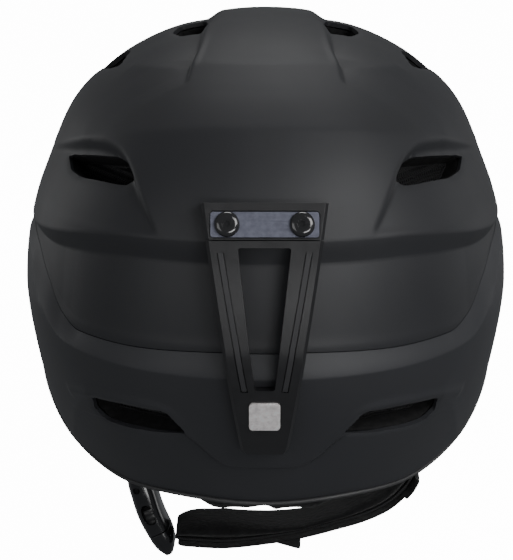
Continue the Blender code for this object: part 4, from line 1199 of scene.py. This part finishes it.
def build_fit_system():
    def knurl(angle):
        return 1 - 0.06 * (0.5 + 0.5 * math.cos(angle * 20)) ** 3

    profile = ((0.0, 0.0088), (0.0004, 0.0098), (0.0013, 0.0113), (0.0020, 0.0115), (0.0038, 0.0115),
               (0.0043, 0.0112), (0.0045, 0.0104))
    dial = disc("fit_dial_fine", DIAL_CENTRE, (0, 1, 0), profile, MAT["plastic"], 160, knurl)
    finish_piece(dial, "dial", "hard_plastic", "fit_dial")
    cols, rows = 60, 16
    for name, first, last, low, high, depth, thick, body in (
            ("fit_cradle", -36, 36, -0.080, -0.044, 0.0235, 0.0022, "cradle"),
            ("fit_band_l", -112, -47, -0.036, -0.020, 0.0115, 0.0012, "helmet"),
            ("fit_band_r", 47, 112, -0.036, -0.020, 0.0115, 0.0012, "helmet")):
        az = np.linspace(first, last, cols)
        az_grid = np.broadcast_to(az, (rows, cols))
        share = np.abs(np.linspace(-1, 1, cols))
        squeeze = 1 - 0.35 * ease((share - 0.75) / 0.25)
        z = (high + low) / 2 + (high - low) / 2 * np.linspace(1, -1, rows)[:, None] * squeeze[None, :]
        outer = offset_points(cavity_point, az_grid, z, np.full(z.shape, -depth))
        inner = offset_points(cavity_point, az_grid, z, np.full(z.shape, -depth - thick))
        piece = skin(name + "_fine", outer, inner, MAT["plastic"], False, sharp=30)
        bevel(piece, 0.0004, 2)
        finish_piece(piece, body, "hard_plastic", name)


build_pads()
build_ear_pads()
build_fit_system()

# ---------------------------------------------------------------- chin strap and harness

STRAP_Y = 0.030
WEB_WIDTH = 0.020
WEB_THICKNESS = 0.0018
Y_AXIS = np.array([0, 1.0, 0])
YOKE = (0.0835, STRAP_Y, -0.0945)
RING_TOP = (0.0809, STRAP_Y, -0.1021)
FINE = 6                    # fine stations between the strap route's points


def chin_points(table):
    return np.array([(x * MM, STRAP_Y, z * MM) for x, z in table])


STRAP_ROUTE = chin_points(((-45.4, -145.4), (-38, -146.2), (-20, -147.0), (0, -144.8), (18, -141.6),
                           (35, -137), (49, -132.6), (61, -126.6), (70, -118), (74.4, -109.6)))
# x and half thickness of the padding, mm
CHIN_PAD_HALF = np.array(((-46, 4.2), (-20, 5.0), (2, 2.8), (20, 1.6), (40, 2.3), (52, 3.3), (80, 3.3)))
STRAP_GAP = WEB_THICKNESS / 2 + 0.0005          # from the webbing's middle to the pads on it
SQUARE_END = 1e-6                               # rounding length of an end that stays square
LEFT_WEB = chin_points(((-71.9, -104.9), (-69.2, -105.7), (-66.8, -107.2), (-65.6, -109.2)))


def tangents_of(points):
    run = np.gradient(points, axis=0)
    return run / np.linalg.norm(run, axis=1, keepdims=True)


def lengths_along(points):
    """Distance from the first point to each point."""
    return np.concatenate([[0], np.cumsum(np.linalg.norm(np.diff(points, axis=0), axis=1))])


def strap(node, points, half_across, thickness, body):
    """Flat woven strap with rounded edges, with a UV map in metres along and across it."""
    points = np.asarray(points, float)
    tangents = tangents_of(points)
    half_across = np.broadcast_to(half_across, points.shape)
    along = lengths_along(points)
    sections = []
    places = []
    sides = 28
    for point, tangent, half, distance in zip(points, tangents, half_across, along):
        up = np.cross(tangent, half)
        up = up / np.linalg.norm(up) * thickness / 2
        ring = oval(point, half, up, sides, 5.0)
        sections.append(ring)
        places += [(distance, float((p - point) @ half / np.linalg.norm(half))) for p in ring]
    piece = loft(node + "_fine", sections, MAT["webbing"], sharp=50)
    layer = piece.data.uv_layers.new(name="along_across")
    index = np.zeros(len(piece.data.loops), int)
    piece.data.loops.foreach_get("vertex_index", index)
    layer.data.foreach_set("uv", np.array(places)[index].ravel())
    finish_piece(piece, body, "webbing", node)


def strap_slice(first, last):
    """Fine stations of the chin strap between two of the CAD route's 28 stations."""
    route = spline(STRAP_ROUTE, FINE * 3)
    return route[first * FINE:last * FINE + 1]


def padded_run(name, first, last, side, half_thick, half_wide, seam, round_first, round_last):
    """Soft tube on the inner (1) or outer (-1) face of the webbing, with a sewn seam along it.

    half_thick is a number, or None for the chin padding's own thickness. Each end is rounded off over
    a length.
    """
    points = strap_slice(first, last)
    along = lengths_along(points)
    sections = []
    for point, tangent, distance in zip(points, tangents_of(points), along):
        inward = np.cross(tangent, Y_AXIS)
        inward = inward / np.linalg.norm(inward)
        if inward[2] < 0:
            inward = -inward
        near = min(1.0, (distance + SQUARE_END) / round_first,
                   (along[-1] - distance + SQUARE_END) / round_last)
        share = 0.25 + 0.75 * math.sqrt(max(0.0, 1 - (1 - near) ** 2))
        thick = share * (half_thick or np.interp(point[0] / MM, *CHIN_PAD_HALF.T) * MM)
        middle = point + inward * side * (STRAP_GAP + thick)
        ring = oval(middle, Y_AXIS * half_wide * (0.86 + 0.14 * share), inward * thick, 48, 2.6)
        if seam:
            away = (ring - middle) @ inward / max(thick, 1e-6)
            dip = seam * np.exp(-((away + 0.45) / 0.10) ** 2)
            toward = (middle - ring) / np.linalg.norm(middle - ring, axis=1, keepdims=True)
            ring = ring + toward * dip[:, None]
        sections.append(ring)
    return loft(name, sections, MAT["lining"], sharp=60)


def build_chin_strap():
    strap("chin_webbing", strap_slice(0, 27), Y_AXIS * WEB_WIDTH / 2, WEB_THICKNESS, "chin_strap")
    for node, *shape in (
            ("chin_pad", 0, 17, 1, None, 0.0150, 0.0004, 0.014, SQUARE_END),
            ("chin_pad_lining", 1, 17, -1, 0.0008, 0.0145, 0.0, 0.004, SQUARE_END),
            ("strap_sleeve", 17, 25, 1, None, 0.0150, 0.0004, SQUARE_END, 0.003),
            ("strap_sleeve_lining", 17, 23, -1, 0.0008, 0.0145, 0.0, SQUARE_END, SQUARE_END),
            ("strap_cuff", 23, 26, -1, 0.0018, 0.0150, 0.0002, 0.0010, 0.002)):
        piece = padded_run(node + "_fine", *shape)
        finish_piece(piece, "chin_strap", "fleece", node)
    tail = chin_points(((4.5, -148.4), (17.8, -145.6), (17.6, -151.7), (15.8, -151.7)))
    near = filleted(tail - Y_AXIS * 0.008, 0.0009, 3)
    piece = loft("strap_tail_fine", [near + Y_AXIS * d for d in np.linspace(0, 0.016, 5)], MAT["webbing"])
    bevel(piece, 0.0003, 2)
    finish_piece(piece, "chin_strap", "webbing", "strap_tail")


def build_side_harness(side, letter):
    mirror = np.array([side, 1, 1])
    yoke = np.array(YOKE) * mirror
    for label, azimuth, height, end_offset, half_end in (
            ("front", 126, -0.0530, (0, 0.0065, 0.0068), 0.0050),
            ("rear", 69, -0.0745, (0, -0.0095, 0.0090), 0.0042)):
        start = outer_base(azimuth, height)
        start = (start - start * np.array([1, 1, 0]) / np.hypot(start[0], start[1]) * 0.013) * mirror
        end = yoke + np.array(end_offset)
        shares = np.linspace(0, 1, 25)[:, None]
        points = start + (end - start) * shares + np.array([0.0030 * side, 0, 0]) * np.sin(math.pi * shares)
        direction = (end - start) / np.linalg.norm(end - start)
        flat = np.cross(direction, [side, 0, 0])
        flat /= np.linalg.norm(flat)
        half = np.interp(shares[:, 0], (0, 0.35, 0.7, 1), (0.0070, 0.0070, 0.0062, half_end))
        strap("strap_leg_%s_%s" % (label, letter), points, flat * half[:, None], 0.0016, "helmet")
    target = STRAP_ROUTE[-1] if side > 0 else LEFT_WEB[0]
    top = np.array(RING_TOP) * mirror
    down = (target - top) / np.linalg.norm(target - top)
    middle = top + down * 0.0036
    path = oval(middle, Y_AXIS * 0.0125, down * 0.0036, 72, 3.2)
    flat = np.cross(Y_AXIS, down)
    run = np.roll(path, -1, 0) - np.roll(path, 1, 0)
    run /= np.linalg.norm(run, axis=1, keepdims=True)
    sections = [oval(p, np.cross(t, flat) * 0.0011, flat * 0.0011, 16, 2.0) for p, t in zip(path, run)]
    piece = loft("ring_%s_fine" % letter, sections, MAT["steel"], True)
    finish_piece(piece, "chin_strap" if side > 0 else "buckle_side", "screw_steel", "ring_" + letter)


build_chin_strap()
for letter, side in SIDES:
    build_side_harness(side, letter)

# ---------------------------------------------------------------- buckle

BUCKLE_LINE = chin_points(((-65.2, -109.9), (-64.2, -113.4), (-62.8, -118.2), (-61.0, -124), (-59.0, -131),
                           (-56.6, -137.2), (-54.0, -142.6)))
TONGUE_LINE = chin_points(((-53.8, -143.0), (-51.8, -147.2), (-49.9, -151.2), (-48.6, -154.6)))


def shaped_run(name, line, widths, thicks, material, sides=48, per_span=8, ribs=0.0):
    """Loft along a line with smoothly varying half-width and half-thickness."""
    points = spline(line, per_span)
    sizes = spline(np.stack([widths, thicks], 1), per_span)
    sections = []
    for k, (point, tangent, (wide, thick)) in enumerate(zip(points, tangents_of(points), sizes)):
        normal = np.cross(tangent, Y_AXIS)
        grow = ribs * (0.5 + 0.5 * math.cos(2 * math.pi * k / 4)) if ribs else 0
        normal = normal / np.linalg.norm(normal) * thick
        sections.append(oval(point, Y_AXIS * (wide + grow), normal, sides, 3.2))
    return loft(name, sections, material)


def build_buckle():
    strap("left_webbing", spline(LEFT_WEB, 8), Y_AXIS * WEB_WIDTH / 2, WEB_THICKNESS, "buckle_side")
    widths = (0.0125, 0.0130, 0.0132, 0.0134, 0.0134, 0.0132, 0.0128)
    thicks = (0.0040, 0.0056, 0.0064, 0.0066, 0.0066, 0.0064, 0.0062)
    housing = shaped_run("buckle_housing_fine", BUCKLE_LINE, widths, thicks, MAT["gloss"])
    beyond = BUCKLE_LINE[-1] * 2 - BUCKLE_LINE[-2]
    cavity_line = np.vstack([BUCKLE_LINE[3:], beyond])
    cut(housing, shaped_run("cavity", cavity_line, [0.0118] * 5, [0.0049] * 5, None))
    window_centre, eye_centre = chin_points(((-58.6, -132.4), (-64.6, -119.6))) - Y_AXIS * 0.02
    window = oval(window_centre, (0.0030, 0, 0.0006), (-0.0018, 0, 0.0052), 40, 2.6)
    cut(housing, loft("side_window", [window, window + Y_AXIS * 0.04], None))
    eye = disc("eye", eye_centre, (0, 1, 0), ((0, 0.0017), (0.04, 0.0017)), None, 32)
    cut(housing, eye)
    bevel(housing, 0.00035, 3)
    finish_piece(housing, "buckle_side", "hard_plastic", "buckle_housing")
    tongue = shaped_run("buckle_tongue_fine", TONGUE_LINE, (0.0128, 0.0126, 0.0118, 0.0100),
                        (0.0062, 0.0058, 0.0046, 0.0022), MAT["gloss"])
    bevel(tongue, 0.0003, 3)
    guide_line = np.array([BUCKLE_LINE[4], BUCKLE_LINE[5], TONGUE_LINE[0]])
    guide = shaped_run("tongue_guide_fine", guide_line, (0.0020, 0.0026, 0.0026), (0.0022, 0.0026, 0.0026),
                       MAT["gloss"], 24)
    finish_piece(tongue, "chin_strap", "hard_plastic", "buckle_tongue")
    finish_piece(guide, "chin_strap", "hard_plastic")
    for side, label in ((-1, "rear"), (1, "front")):
        start, bend, last = BUCKLE_LINE[4:7]
        line = np.array([start + (start - bend) * 0.3, start, bend, last + (bend - last) * 0.06])
        line = line + Y_AXIS * (side * np.array([0.0080, 0.0094, 0.0092, 0.0080]))[:, None]
        prong = shaped_run("buckle_prong_%s_fine" % label, line, (0.0012, 0.0018, 0.0018, 0.0014),
                           (0.0026, 0.0034, 0.0034, 0.0026), MAT["plastic"], 24, 10, 0.0003)
        finish_piece(prong, "prong_" + label, "hard_plastic", "buckle_prong_" + label)


build_buckle()

# ---------------------------------------------------------------- CAD pieces kept, with finer edges


def dress(node, material, width=0.0003):
    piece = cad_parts[node]
    piece.data.materials.clear()
    piece.data.materials.append(MAT[material])
    weld = piece.modifiers.new("weld", "WELD")
    weld.merge_threshold = 0.00001
    bevel(piece, width, 3, 30)
    for polygon in piece.data.polygons:
        polygon.use_smooth = True


for letter in "lr":
    dress("yoke_" + letter, "plastic")
    dress("strap_link_" + letter, "plastic")
    dress("yoke_rivet_" + letter, "steel", 0.0002)
    dress("ear_pad_clip_" + letter, "plastic")
dress("fit_dial_housing", "plastic")
dress("snap_stud", "steel", 0.0002)
